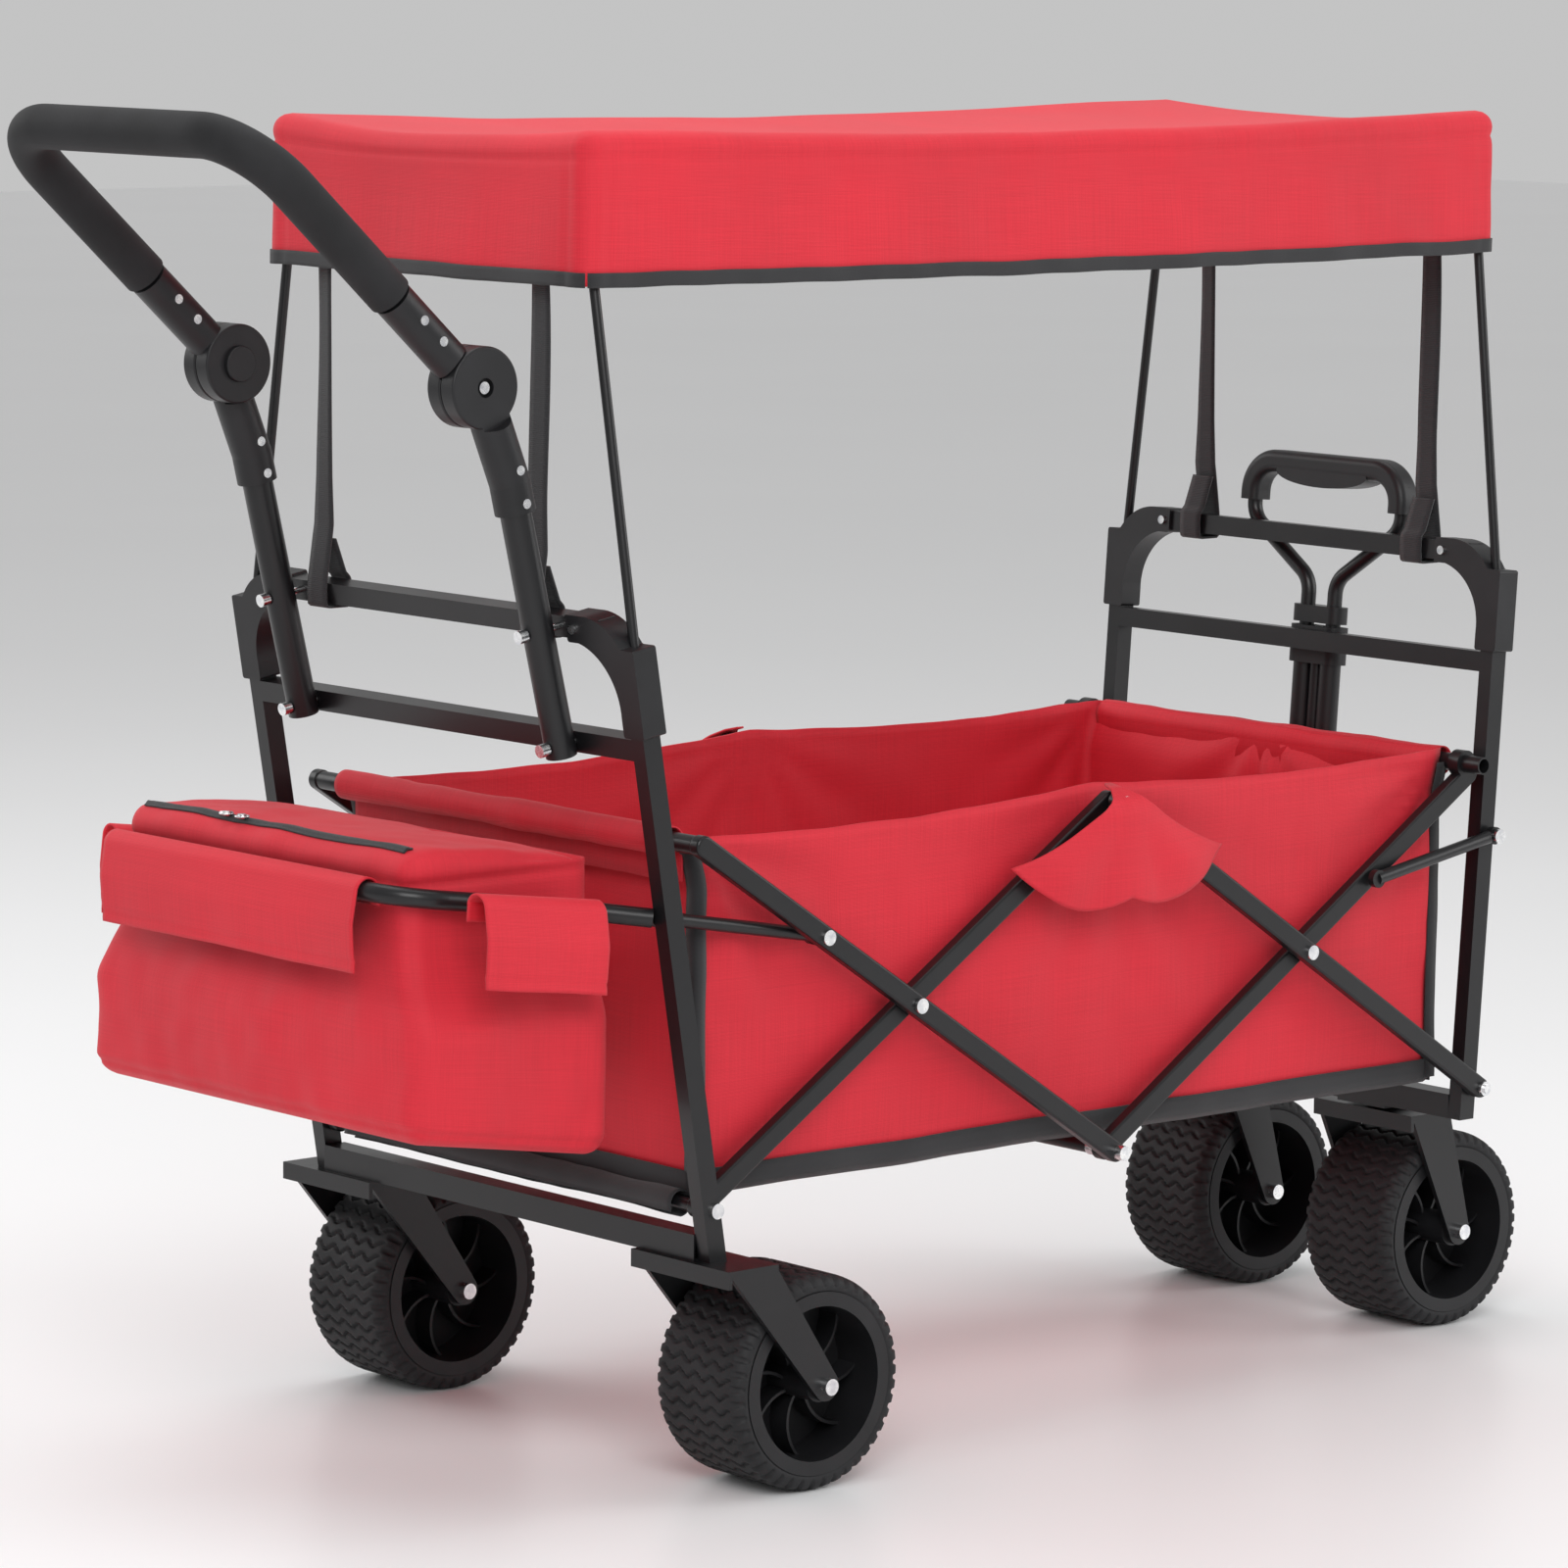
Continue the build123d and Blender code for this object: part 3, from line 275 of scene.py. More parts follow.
def zinc_plate():
    """Bright zinc with a faint cloud."""
    material, tree, shader = start_material("zinc_plate", (0.74, 0.74, 0.75), 0.22, Metallic=1.0)
    place = coordinates(tree, "Object")
    cloud = noise_map(tree, place, 160, 3)
    shade = ramp(tree, cloud, (0.56, 0.57, 0.60), (0.86, 0.86, 0.85), (0.3, 0.7))
    tree.links.new(shade, shader.inputs["Base Color"])
    tree.links.new(span(tree, cloud, 0.16, 0.34), shader.inputs["Roughness"])
    bump(tree, shader, noise_map(tree, place, 1500, 2), 0.00004, 0.4)
    return material


def moulding(name, colour, roughness, grain, depth):
    """Moulded plastic with a fine grain."""
    lighter = [value * 1.7 for value in colour]
    material, tree, shader = start_material(name, colour, roughness, Specular_IOR_Level=0.35)
    place = coordinates(tree, "Object")
    fine = noise_map(tree, place, grain, 3, 0.6)
    cloud = noise_map(tree, place, 22, 2)
    tree.links.new(ramp(tree, cloud, colour, lighter, (0.3, 0.75)), shader.inputs["Base Color"])
    tree.links.new(span(tree, fine, roughness - 0.08, roughness + 0.12), shader.inputs["Roughness"])
    bump(tree, shader, fine, depth, 0.6)
    return material


black_steel = powder_coat()
bright_zinc = zinc_plate()
black_plastic = moulding("black_plastic", (0.008, 0.008, 0.009), 0.42, 1100, 0.00012)
tyre_rubber = moulding("tyre_rubber", (0.010, 0.010, 0.011), 0.62, 700, 0.00018)
grip_foam_skin = moulding("grip_foam_skin", (0.009, 0.009, 0.010), 0.72, 1600, 0.00030)
hard_finishes = (black_steel, bright_zinc, black_plastic, tyre_rubber, grip_foam_skin)
print("hard finishes:", [material.name for material in hard_finishes])

# %% [markdown]
# ### Cloth and webbing
# The wagon's cloth is a coated oxford weave: two sets of threads that cross about every 0.9 mm, with a
# thicker thread now and then. Two sine waves at right angles, one along each set, give the bumps, and a
# slow noise keeps the red from being flat. Webbing has ribs across it, and binding is a fine grosgrain.

# %% Woven finishes
def threads(tree, place, axis, spacing):
    """A wave across the cloth: one crest per thread."""
    node = tree.nodes.new("ShaderNodeTexWave")
    node.wave_type = "BANDS"
    node.bands_direction = axis
    node.inputs["Scale"].default_value = math.pi / (10 * spacing)
    tree.links.new(place, node.inputs["Vector"])
    return node.outputs["Fac"]


def oxford_cloth(name, dark, light, spacing):
    """Coated plain weave with the odd thicker thread."""
    material, tree, shader = start_material(name, light, 0.70, Sheen_Weight=0.10, Sheen_Roughness=0.45)
    shader.inputs["Sheen Tint"].default_value = (1.0, 0.55, 0.55, 1)
    place = coordinates(tree, "UV")
    warp = threads(tree, place, "X", spacing)
    weft = threads(tree, place, "Y", spacing)
    weave = combine(tree, warp, weft, "MULTIPLY")
    long_warp = noise_map(tree, coordinates(tree, "UV", (900, 12, 1)), 1.0, 2)
    long_weft = noise_map(tree, coordinates(tree, "UV", (12, 900, 1)), 1.0, 2)
    slubs = combine(tree, long_warp, long_weft)
    cloud = noise_map(tree, coordinates(tree, "Object"), 5, 3)
    mix = combine(tree, combine(tree, weave, 0.25, "MULTIPLY"), combine(tree, slubs, 0.30, "MULTIPLY"))
    mix = combine(tree, mix, combine(tree, cloud, 0.45, "MULTIPLY"))
    tree.links.new(ramp(tree, mix, dark, light, (0.30, 0.85)), shader.inputs["Base Color"])
    tree.links.new(span(tree, cloud, 0.60, 0.78), shader.inputs["Roughness"])
    height = combine(tree, weave, combine(tree, slubs, 0.7, "MULTIPLY"))
    bump(tree, shader, height, 0.00022, 0.55)
    return material


def ribbed_webbing(name, colour, spacing, depth):
    """Woven tape with ribs across it and a fine grain along it."""
    lighter = [value * 2.6 for value in colour]
    material, tree, shader = start_material(name, colour, 0.78, Sheen_Weight=0.15, Sheen_Roughness=0.5)
    place = coordinates(tree, "UV")
    ribs = threads(tree, place, "Y", spacing)
    warp = threads(tree, place, "X", spacing * 0.6)
    height = combine(tree, ribs, combine(tree, warp, 0.6, "MULTIPLY"))
    tree.links.new(ramp(tree, height, colour, lighter, (0.2, 1.0)), shader.inputs["Base Color"])
    bump(tree, shader, height, depth, 0.7)
    return material


red_cloth = oxford_cloth("red_cloth", (0.47, 0.004, 0.016), (0.72, 0.014, 0.034), 0.0011)
black_webbing = ribbed_webbing("black_webbing", (0.007, 0.007, 0.008), 0.0016, 0.0004)
black_binding = ribbed_webbing("black_binding", (0.006, 0.006, 0.007), 0.0010, 0.0002)
print("woven finishes:", [m.name for m in (red_cloth, black_webbing, black_binding)])

# %% [markdown]
# ## Finishes for the exact solids
# The steel frame and its fasteners keep their own shapes and only get a finish. Each solid names its
# material slot, so one table from slot to finish covers them all.

# %% Dress the solids
finish_of_slot = {
    "powder_coat": black_steel,
    "zinc": bright_zinc,
    "black_plastic": black_plastic,
    "tyre_black": tyre_rubber,
    "foam": grip_foam_skin,
    "red_fabric": red_cloth,
    "black_webbing": black_webbing,
}
for entry in frame["record"]["subparts"]:
    solid = nodes[entry["node"]]
    for place in solid.material_slots:
        place.material = finish_of_slot[entry["material_slot"]]

# %% [markdown]
# ## The tub
# The tub is five panels of cloth sewn into an open box, hung between two rail tubes. The steel pulls it
# taut along its top edges, so it is flat where it is pulled and uneven where it isn't: folds fan out from
# the hub in the middle of each long side and from the corners, and the floor sags a little between its
# tubes. A box shape is subdivided until the cloth can bend, and then each vertex is pushed along its
# panel's normal by a few gentle functions. The same functions place the bindings and the flaps later, so
# they lie on the cloth.

# %% The tub's own measures
tub_low, tub_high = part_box("tub_liner")
hub_x, hub_z = joint_at["top_hub_turn"][0], joint_at["top_hub_turn"][2]
rear_rail_low, rear_rail_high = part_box("rear_rail_tube")
front_rail_low, front_rail_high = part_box("front_rail_tube")
rear_rail = ((rear_rail_low[0] + rear_rail_high[0]) / 2, (rear_rail_low[2] + rear_rail_high[2]) / 2)
front_rail = ((front_rail_low[0] + front_rail_high[0]) / 2, (front_rail_low[2] + front_rail_high[2]) / 2)
print("tub", [round(b - a, 3) for a, b in zip(tub_low, tub_high)], "rails at", rear_rail, front_rail)


# %% How a long side of the tub undulates
def fan(x, z, centre_x, centre_z, folds, reach, turn):
    """Folds that fan out below a point, strongest near it and gone at reach."""
    distance = math.hypot(x - centre_x, z - centre_z)
    angle = math.atan2(centre_z - z, x - centre_x)
    fade = smooth_step(distance, 0.0, 0.04) * (1 - smooth_step(distance, reach * 0.35, reach))
    return fade * math.sin(folds * angle + turn)


def side_bulge(x, z, side):
    """How far a long side stands out from its flat place, in metres."""
    below_top = min(max((tub_high[2] - z) / (tub_high[2] - tub_low[2]), 0), 1)
    middle = math.sin(math.pi * below_top)
    bulge = 0.0022 * middle * math.sin(math.pi * (x - tub_low[0]) / (tub_high[0] - tub_low[0]))
    bulge += 0.0015 * fan(x, z, hub_x, tub_high[2], 13, 0.34, 0.6 * side)
    bulge += 0.0026 * fan(x, z, tub_low[0], tub_high[2] - 0.01, 11, 0.22, 1.1)
    bulge += 0.0026 * fan(x, z, tub_high[0], tub_high[2] - 0.01, 11, 0.22, 2.0)
    bulge += 0.0030 * middle * ripple(x, 0.4 * z, side, 0.11, 3.1)
    bulge += 0.0012 * (0.3 + middle) * ripple(x + z, z - x, side, 0.045, 7.7)
    gather = 0.5 + 0.5 * ripple(x, side, 0, 0.06, 1.4)
    bulge -= 0.0045 * (1 - smooth_step(z - tub_low[2], 0.0, 0.05)) * gather
    return bulge


def end_bulge(y, z, end):
    """How far an end panel stands out."""
    below_top = min(max((tub_high[2] - z) / (tub_high[2] - tub_low[2]), 0), 1)
    middle = math.sin(math.pi * below_top) * math.cos(math.pi * y / (tub_high[1] - tub_low[1]))
    bulge = 0.006 * middle + 0.004 * middle * ripple(y, z, end, 0.12, 5.5)
    bulge += 0.0030 * fan(y, z, 0.0, tub_high[2], 9, 0.26, 0.4) + 0.0014 * ripple(y, z, end, 0.05, 2.2)
    return bulge


def top_edge(x):
    """Height of the tub's upper edge: taut from rail to hub, a little slack between."""
    if x < hub_x:
        share = (x - tub_low[0]) / (hub_x - tub_low[0])
        low, high = 0.546, 0.556
    else:
        share = (x - hub_x) / (tub_high[0] - hub_x)
        low, high = 0.556, 0.552
    slack = 0.0075 * math.sin(math.pi * share)
    return low + (high - low) * share - slack + 0.0012 * ripple(x, 0, 0, 0.05, 9.0)


edge_places = (tub_low[0], hub_x, tub_high[0])
print("upper edge at the rear, hub and front:", [round(top_edge(x), 4) for x in edge_places])

# %% [markdown]
# A cube is the right start, because it is closed, its seams are already shared edges, and Blender can
# divide its edges evenly. The top face is taken away to open it.

# %% Cut and sew the tub
def open_box(low, high, cuts, open_at):
    """A cube between two corners, cut into small squares, with the face at one end of Z taken away."""
    bm = bmesh.new()
    bmesh.ops.create_cube(bm, size=1.0)
    size = [b - a for a, b in zip(low, high)]
    middle = [(a + b) / 2 for a, b in zip(low, high)]
    bmesh.ops.scale(bm, vec=size, verts=bm.verts)
    bmesh.ops.translate(bm, vec=middle, verts=bm.verts)
    lid = [face for face in bm.faces if abs(face.calc_center_median().z - open_at) < 1e-5]
    bmesh.ops.delete(bm, geom=lid, context="FACES_ONLY")
    for axis, count in enumerate(cuts):
        for step in range(1, count):
            place = [0, 0, 0]
            place[axis] = low[axis] + size[axis] * step / count
            normal = [0, 0, 0]
            normal[axis] = 1
            geometry = bm.verts[:] + bm.edges[:] + bm.faces[:]
            bmesh.ops.bisect_plane(bm, geom=geometry, plane_co=place, plane_no=normal)
    return bm


def shape_tub(point):
    """Where a point of the plain box goes on the sewn tub."""
    x, y, z = point
    side = 1 if y > 0 else -1
    near_side = smooth_step(abs(y), tub_high[1] - 0.02, tub_high[1])
    share = (z - tub_low[2]) / (tub_high[2] - tub_low[2])
    edge = top_edge(x)
    lifted = tub_low[2] + (edge - tub_low[2]) * share
    new_y = y + side * side_bulge(x, lifted, side) * near_side
    new_x = x
    for end, place in ((-1, tub_low[0]), (1, tub_high[0])):
        near_end = 1 - smooth_step(abs(x - place), 0.0, 0.02)
        flare = 0.012 * smooth_step(lifted, edge - 0.045, edge)
        new_x += end * near_end * (end_bulge(y, lifted, end) * (1 - smooth_step(abs(y), 0.20, 0.224)) + flare)
    floor = 1 - smooth_step(z - tub_low[2], 0.0, 0.03)
    sag = 0.0035 * math.cos(math.pi * y / 0.46) * abs(math.sin(math.pi * (x - hub_x) / 0.44))
    lifted += floor * (0.0015 * ripple(x, y, 0, 0.09, 4.0) + 0.004 - sag)
    corner = smooth_step(abs(y), tub_high[1] - 0.012, tub_high[1])
    corner *= 1 - smooth_step(min(x - tub_low[0], tub_high[0] - x), 0.0, 0.012)
    new_y -= side * 0.004 * corner
    return Vector((new_x, new_y, lifted))


tub = open_box(tub_low, tub_high, (96, 52, 34), tub_high[2])
for vert in tub.verts:
    vert.co = shape_tub(vert.co)
tub.normal_update()
lay_out_cloth(tub)
tub_cloth = finish_piece(tub, "tub_cloth", red_cloth, "rear_frame", ["tub_liner"])
add_modifier(tub_cloth, "SOLIDIFY", thickness=0.0016, offset=-1.0)

# %% [markdown]
# ### Sleeves over the rail tubes
# At each end the cloth turns over a rail tube and is sewn down inside, which makes a full round roll. A
# roll is a tube of cloth a little wider than the steel, pinched where the thread pulls and slack between.
# It is spun from a short arc, so it stays open underneath, where the end panel hangs from it.

# %% Roll the sleeves
ROLL_TURN = 292              # how far a roll goes round its tube, degrees


def rail_sleeve(
    name, centre, half, inner_end, seed, reach=0.0112, material=red_cloth, tail_drop=0.030,
):
    """A roll of cloth round a rail tube, open on the tub's side underneath."""
    bm = bmesh.new()
    start = Vector((centre[0], -half, centre[1] - reach))
    first = bm.verts.new(start)
    spun = bmesh.ops.spin(
        bm, geom=[first], cent=(centre[0], -half, centre[1]), axis=(0, inner_end, 0),
        angle=math.radians(ROLL_TURN), steps=28,
    )
    tail = [item for item in spun["geom_last"] if isinstance(item, bmesh.types.BMVert)][0]
    last = bm.verts.new(tail.co + Vector((inner_end * 0.001, 0, -tail_drop)))
    bm.edges.new((tail, last))
    rail_edges = bm.edges[:]
    steps = 90
    for step in range(steps):
        out = bmesh.ops.extrude_edge_only(bm, edges=rail_edges)["geom"]
        moved = [item for item in out if isinstance(item, bmesh.types.BMVert)]
        rail_edges = [item for item in out if isinstance(item, bmesh.types.BMEdge)]
        bmesh.ops.translate(bm, vec=(0, 2 * half / steps, 0), verts=moved)
    for vert in bm.verts:
        away = Vector((vert.co.x - centre[0], 0, vert.co.z - centre[1]))
        slack = 0.0014 * ripple(vert.co.x, vert.co.y, vert.co.z, 0.035, seed)
        slack += 0.0012 * ripple(0, vert.co.y, 0, 0.09, seed)
        vert.co += away.normalized() * (slack + 0.0008)
    bm.normal_update()
    lay_out_cloth(bm, lambda point: (point.y, point.z + point.x))
    sleeve = finish_piece(bm, name, material, "rear_frame")
    add_modifier(sleeve, "SOLIDIFY", thickness=0.0014, offset=0.0)
    return sleeve


rear_sleeve = rail_sleeve("rear_rail_sleeve", rear_rail, 0.219, 1, 2.0)
front_sleeve = rail_sleeve("front_rail_sleeve", front_rail, 0.219, -1, 6.0)
floor_tube_low, floor_tube_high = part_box("rear_floor_tube")
floor_tube = ((floor_tube_low[0] + floor_tube_high[0]) / 2, (floor_tube_low[2] + floor_tube_high[2]) / 2)
rear_hem = rail_sleeve(
    "rear_floor_hem", floor_tube, 0.220, -1, 4.0, 0.0098, black_binding, 0.002,
)
print("sleeves:", rear_sleeve.name, front_sleeve.name, rear_hem.name)

# %% [markdown]
# ### Bindings
# Black tape covers every raw edge: along the bottom of both long sides, and up the corners. A binding
# follows the cloth, so its strip is drawn flat, divided, and then laid on the same shape function, a hair
# outside.

# %% Bind the bottom edges and the corners
def tape_strip(name, start, end, width, place, steps=120, rows=4):
    """A flat tape from start to end along one axis, laid by a function of (along, across)."""
    bm = bmesh.new()
    bmesh.ops.create_grid(bm, x_segments=steps, y_segments=rows, size=0.5)
    layer = bm.loops.layers.uv.verify()
    for face in bm.faces:
        for loop in face.loops:
            flat = loop.vert.co
            loop[layer].uv = (flat.y * width, flat.x * (end - start))
    for vert in bm.verts:
        along = start + (vert.co.x + 0.5) * (end - start)
        across = vert.co.y * width
        vert.co = place(along, across)
    tape = finish_piece(bm, name, black_binding, "rear_frame")
    add_modifier(tape, "SOLIDIFY", thickness=0.0014, offset=0.0)
    return tape


def on_side(side, lift):
    """A place function for a tape along the bottom of a long side."""
    def place(along, across):
        height = tub_low[2] + 0.008 + across
        out = tub_high[1] + side_bulge(along, max(height, tub_low[2]), side) + lift
        under = smooth_step(-across, 0.004, 0.011)
        z = height - 0.001 * under + 0.0012 * ripple(along, side, 0, 0.08)
        return Vector((along, side * (out - 0.010 * under), z))
    return place


def at_corner(end, side):
    """A place function for a tape up a corner of the tub."""
    def place(along, across):
        share = (along - tub_low[2]) / (tub_high[2] - tub_low[2])
        corner_x = tub_low[0] if end < 0 else tub_high[0]
        wave = 0.0022 * ripple(along, end, side, 0.05, 4.4)
        flare = 0.010 * smooth_step(share, 0.82, 1.0)
        x = corner_x + end * (0.0045 + wave + flare) - end * max(across, 0) * 0.15
        y = side * (tub_high[1] + 0.0015 - abs(min(across, 0)) * 0.1)
        if across > 0:
            x -= end * across
        else:
            y += side * across
        return Vector((x, y, along))
    return place


for side, side_name in ((1, "left"), (-1, "right")):
    tape_strip(
        f"bottom_binding_{side_name}", tub_low[0] - 0.004, tub_high[0] + 0.004, 0.022, on_side(side, 0.0022),
    )
    for end, end_name in ((-1, "rear"), (1, "front")):
        tape_strip(
            f"{end_name}_corner_binding_{side_name}", tub_low[2] + 0.002, tub_high[2] - 0.012, 0.020,
            at_corner(end, side), steps=70,
        )
print("bindings laid")


def end_binding(end):
    """A place function for the tape along the bottom of an end panel."""
    def place(along, across):
        height = tub_low[2] + 0.008 + across
        corner_x = tub_low[0] if end < 0 else tub_high[0]
        return Vector((corner_x + end * (0.0035 + end_bulge(along, height, end)), along, height))
    return place


for end, end_name in ((-1, "rear"), (1, "front")):
    tape_strip(f"{end_name}_bottom_binding", -0.224, 0.224, 0.020, end_binding(end), steps=70)

# %% [markdown]
# ### The flap over the hub
# On each long side a lozenge of cloth hides the upper hub and keeps small fingers away from it. Its tip
# is sewn to the upper edge, it swells over the steel, and its lower edge is scalloped: two shallow curves
# either side of a small point. It is one sheet, drawn as a fan: rows from the tip down to the hem.

# %% Sew the flaps
FLAP_HALF = 0.126
FLAP_DROP = 0.098
FLAP_RISE = [(0.0, 0.0), (0.06, 0.55), (0.14, 0.88), (0.24, 1.0), (1.0, 1.0)]
hub_bolt_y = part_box("hub_bolts")[1][1]


def rise_at(down):
    """How far the flap has come out over the steel, 0 to 1, at a share of its drop."""
    for (start, low), (end, high) in zip(FLAP_RISE, FLAP_RISE[1:]):
        if down <= end:
            return low + (high - low) * (down - start) / (end - start)
    return FLAP_RISE[-1][1]


def flap_point(across, down, side):
    """Across is -1 to 1 and down 0 at the tip to 1 at the hem."""
    x = hub_x + across * FLAP_HALF * down
    scallop = 0.014 * abs(math.sin(math.pi * across)) - 0.034 * across * across
    z = top_edge(hub_x) + 0.003 - (FLAP_DROP + scallop * down) * down
    cover = tub_high[1] + 0.003
    peak = hub_bolt_y + 0.003 - cover
    steel = peak * rise_at(down) * math.exp(-((x - hub_x) / 0.105) ** 2)
    sides = 0.016 * smooth_step(down, 0.25, 0.9) * smooth_step(abs(across), 0.25, 0.8)
    wave = 0.0014 * ripple(x, z, side, 0.035, 8.0) * smooth_step(down, 0.3, 1.0)
    return Vector((x, side * (cover + steel + sides + wave), z))


def flap(side, name):
    """One lozenge flap with its stitched hem."""
    bm = bmesh.new()
    bmesh.ops.create_grid(bm, x_segments=56, y_segments=30, size=1.0)
    for vert in bm.verts:
        vert.co = flap_point(vert.co.x, min(0.03 + 0.97 * (1 - vert.co.y) / 2, 1.0), side)
    bmesh.ops.remove_doubles(bm, verts=bm.verts, dist=1e-5)
    bm.normal_update()
    lay_out_cloth(bm)
    piece = finish_piece(bm, name, red_cloth, "rear_frame")
    add_modifier(piece, "SOLIDIFY", thickness=0.0018, offset=0.0)
    return piece


for side, side_name in ((1, "left"), (-1, "right")):
    flap(side, f"hub_flap_{side_name}")
print("flap", 2 * FLAP_HALF, "wide and", FLAP_DROP, "deep")
# %% [markdown]
# ## The canopy
# The canopy is a shallow lid of cloth held up by four slim rods, one in each corner. Between the rods
# nothing carries it, so its top edge hangs in a slow curve, the top sags a little, and the valance below
# waves. A rounded box is a box whose points are pulled to within one radius of a smaller box; this gives
# every edge the same soft turn without any modelling of corners.

# %% Drape the canopy
canopy_low, canopy_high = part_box("canopy_cover")
EDGE_ROUND = 0.017
BINDING_WIDTH = 0.012


def round_box(point, low, high, radius, keep_floor=True):
    """Pulls a point of a box on to the same box with rounded edges."""
    inner = [min(max(point[i], low[i] + radius), high[i] - radius) for i in range(3)]
    if keep_floor:
        inner[2] = min(point[2], high[2] - radius)
    away = Vector(point) - Vector(inner)
    if away.length < 1e-9:
        return Vector(point)
    return Vector(inner) + away.normalized() * radius


def shape_canopy(point):
    """Where a point of the plain box goes on the hung canopy."""
    low, high = canopy_low, canopy_high
    x, y, z = round_box(point, low, high, EDGE_ROUND)
    along = (x - low[0]) / (high[0] - low[0])
    across = y / high[1]
    top = smooth_step(z, high[2] - 0.05, high[2])
    hem = 1 - smooth_step(z, low[2], low[2] + 0.09)
    span_sag = math.sin(math.pi * min(max(along, 0), 1))
    side_sag = max(0.0, 1 - across * across)
    z_new = z - top * (0.010 * span_sag + 0.012 * side_sag) - hem * 0.003 * span_sag
    z_new += 0.0020 * top * ripple(x, y, 0, 0.13, 3.0) + 0.0010 * hem * ripple(x, y, 0, 0.05, 6.0)
    outward_y = smooth_step(abs(y), high[1] - EDGE_ROUND, high[1]) * (1 if y > 0 else -1)
    pull = 0.0045 * span_sag * (1 - hem) + 0.0030 * ripple(x, y, 0.3 * z, 0.085, 1.7) * (0.35 + 0.65 * hem)
    pull += 0.0012 * ripple(x, y, z, 0.035, 8.2)
    y_new = y - outward_y * (pull - 0.001)
    middle = (low[0] + high[0]) / 2
    half = high[0] - middle
    outward_x = smooth_step(abs(x - middle), half - EDGE_ROUND, half) * (1 if x > middle else -1)
    dent = 0.0050 * side_sag * (1 - hem) + 0.0030 * ripple(x, y, 0.3 * z, 0.075, 4.9) * (0.35 + 0.65 * hem)
    x_new = x - outward_x * (dent - 0.001)
    for corner_gap, out in ((high[1] - abs(y), "y"), (high[0] - middle - abs(x - middle), "x")):
        crease = 0.0013 * math.exp(-((corner_gap - 0.024) / 0.0035) ** 2) * (1 - top)
        if out == "y":
            x_new -= outward_x * crease
        else:
            y_new -= outward_y * crease
    seam = 0.0016 * math.exp(-((z - high[2] + 0.024) / 0.0035) ** 2)
    return Vector((x_new - outward_x * seam, y_new - outward_y * seam, z_new))


canopy = open_box(canopy_low, canopy_high, (190, 84, 32), canopy_low[2])
canopy.normal_update()
lay_out_cloth(canopy)
for vert in canopy.verts:
    vert.co = shape_canopy(vert.co)
canopy_cloth = finish_piece(canopy, "canopy_cloth", red_cloth, "rear_frame", ["canopy_cover"])
add_modifier(canopy_cloth, "SOLIDIFY", thickness=0.0014, offset=-1.0)


# %% Bind the canopy's hem
def on_canopy(axis, sign):
    """A place function for tape along one lower edge of the canopy, on its side or its end."""
    def place(along, across):
        height = canopy_low[2] + BINDING_WIDTH / 2 - 0.001 + across
        lift = Vector((0, 0, 0))
        if axis == 0:
            point = (along, sign * canopy_high[1], height)
            lift.y = sign * 0.0014
        else:
            point = (canopy_low[0] if sign < 0 else canopy_high[0], along, height)
            lift.x = sign * 0.0014
        return shape_canopy(point) + lift
    return place


canopy_tapes = []
for side, side_name in ((1, "left"), (-1, "right")):
    canopy_tapes.append(tape_strip(
        f"canopy_binding_{side_name}", canopy_low[0], canopy_high[0], BINDING_WIDTH, on_canopy(0, side),
        steps=190,
    ))
for end, end_name in ((-1, "rear"), (1, "front")):
    canopy_tapes.append(tape_strip(
        f"canopy_binding_{end_name}", canopy_low[1], canopy_high[1], BINDING_WIDTH, on_canopy(1, end),
        steps=84,
    ))
print(len(canopy_tapes), "tapes round the hem")

# %% [markdown]
# ## The four straps
# A webbing strap ties each end of the canopy to the crossbar below it, twice. It goes down from the end
# panel, round the bar, and is sewn to itself, so it is double for its last few centimetres. The strap is
# a flat grid whose length follows a path of points, and it turns a few degrees on the way down, as loose
# webbing does.

# %% Lay the straps
STRAP_Y = 0.143
STRAP_HALF = 0.011
BAR_CLEAR = 0.0115
DOUBLED = 0.045


def along_path(points, distance):
    """The point at a distance along a list of (x, z) points."""
    for (x0, z0), (x1, z1) in zip(points, points[1:]):
        length = math.hypot(x1 - x0, z1 - z0)
        if distance <= length:
            share = distance / length
            return x0 + (x1 - x0) * share, z0 + (z1 - z0) * share
        distance -= length
    return points[-1]


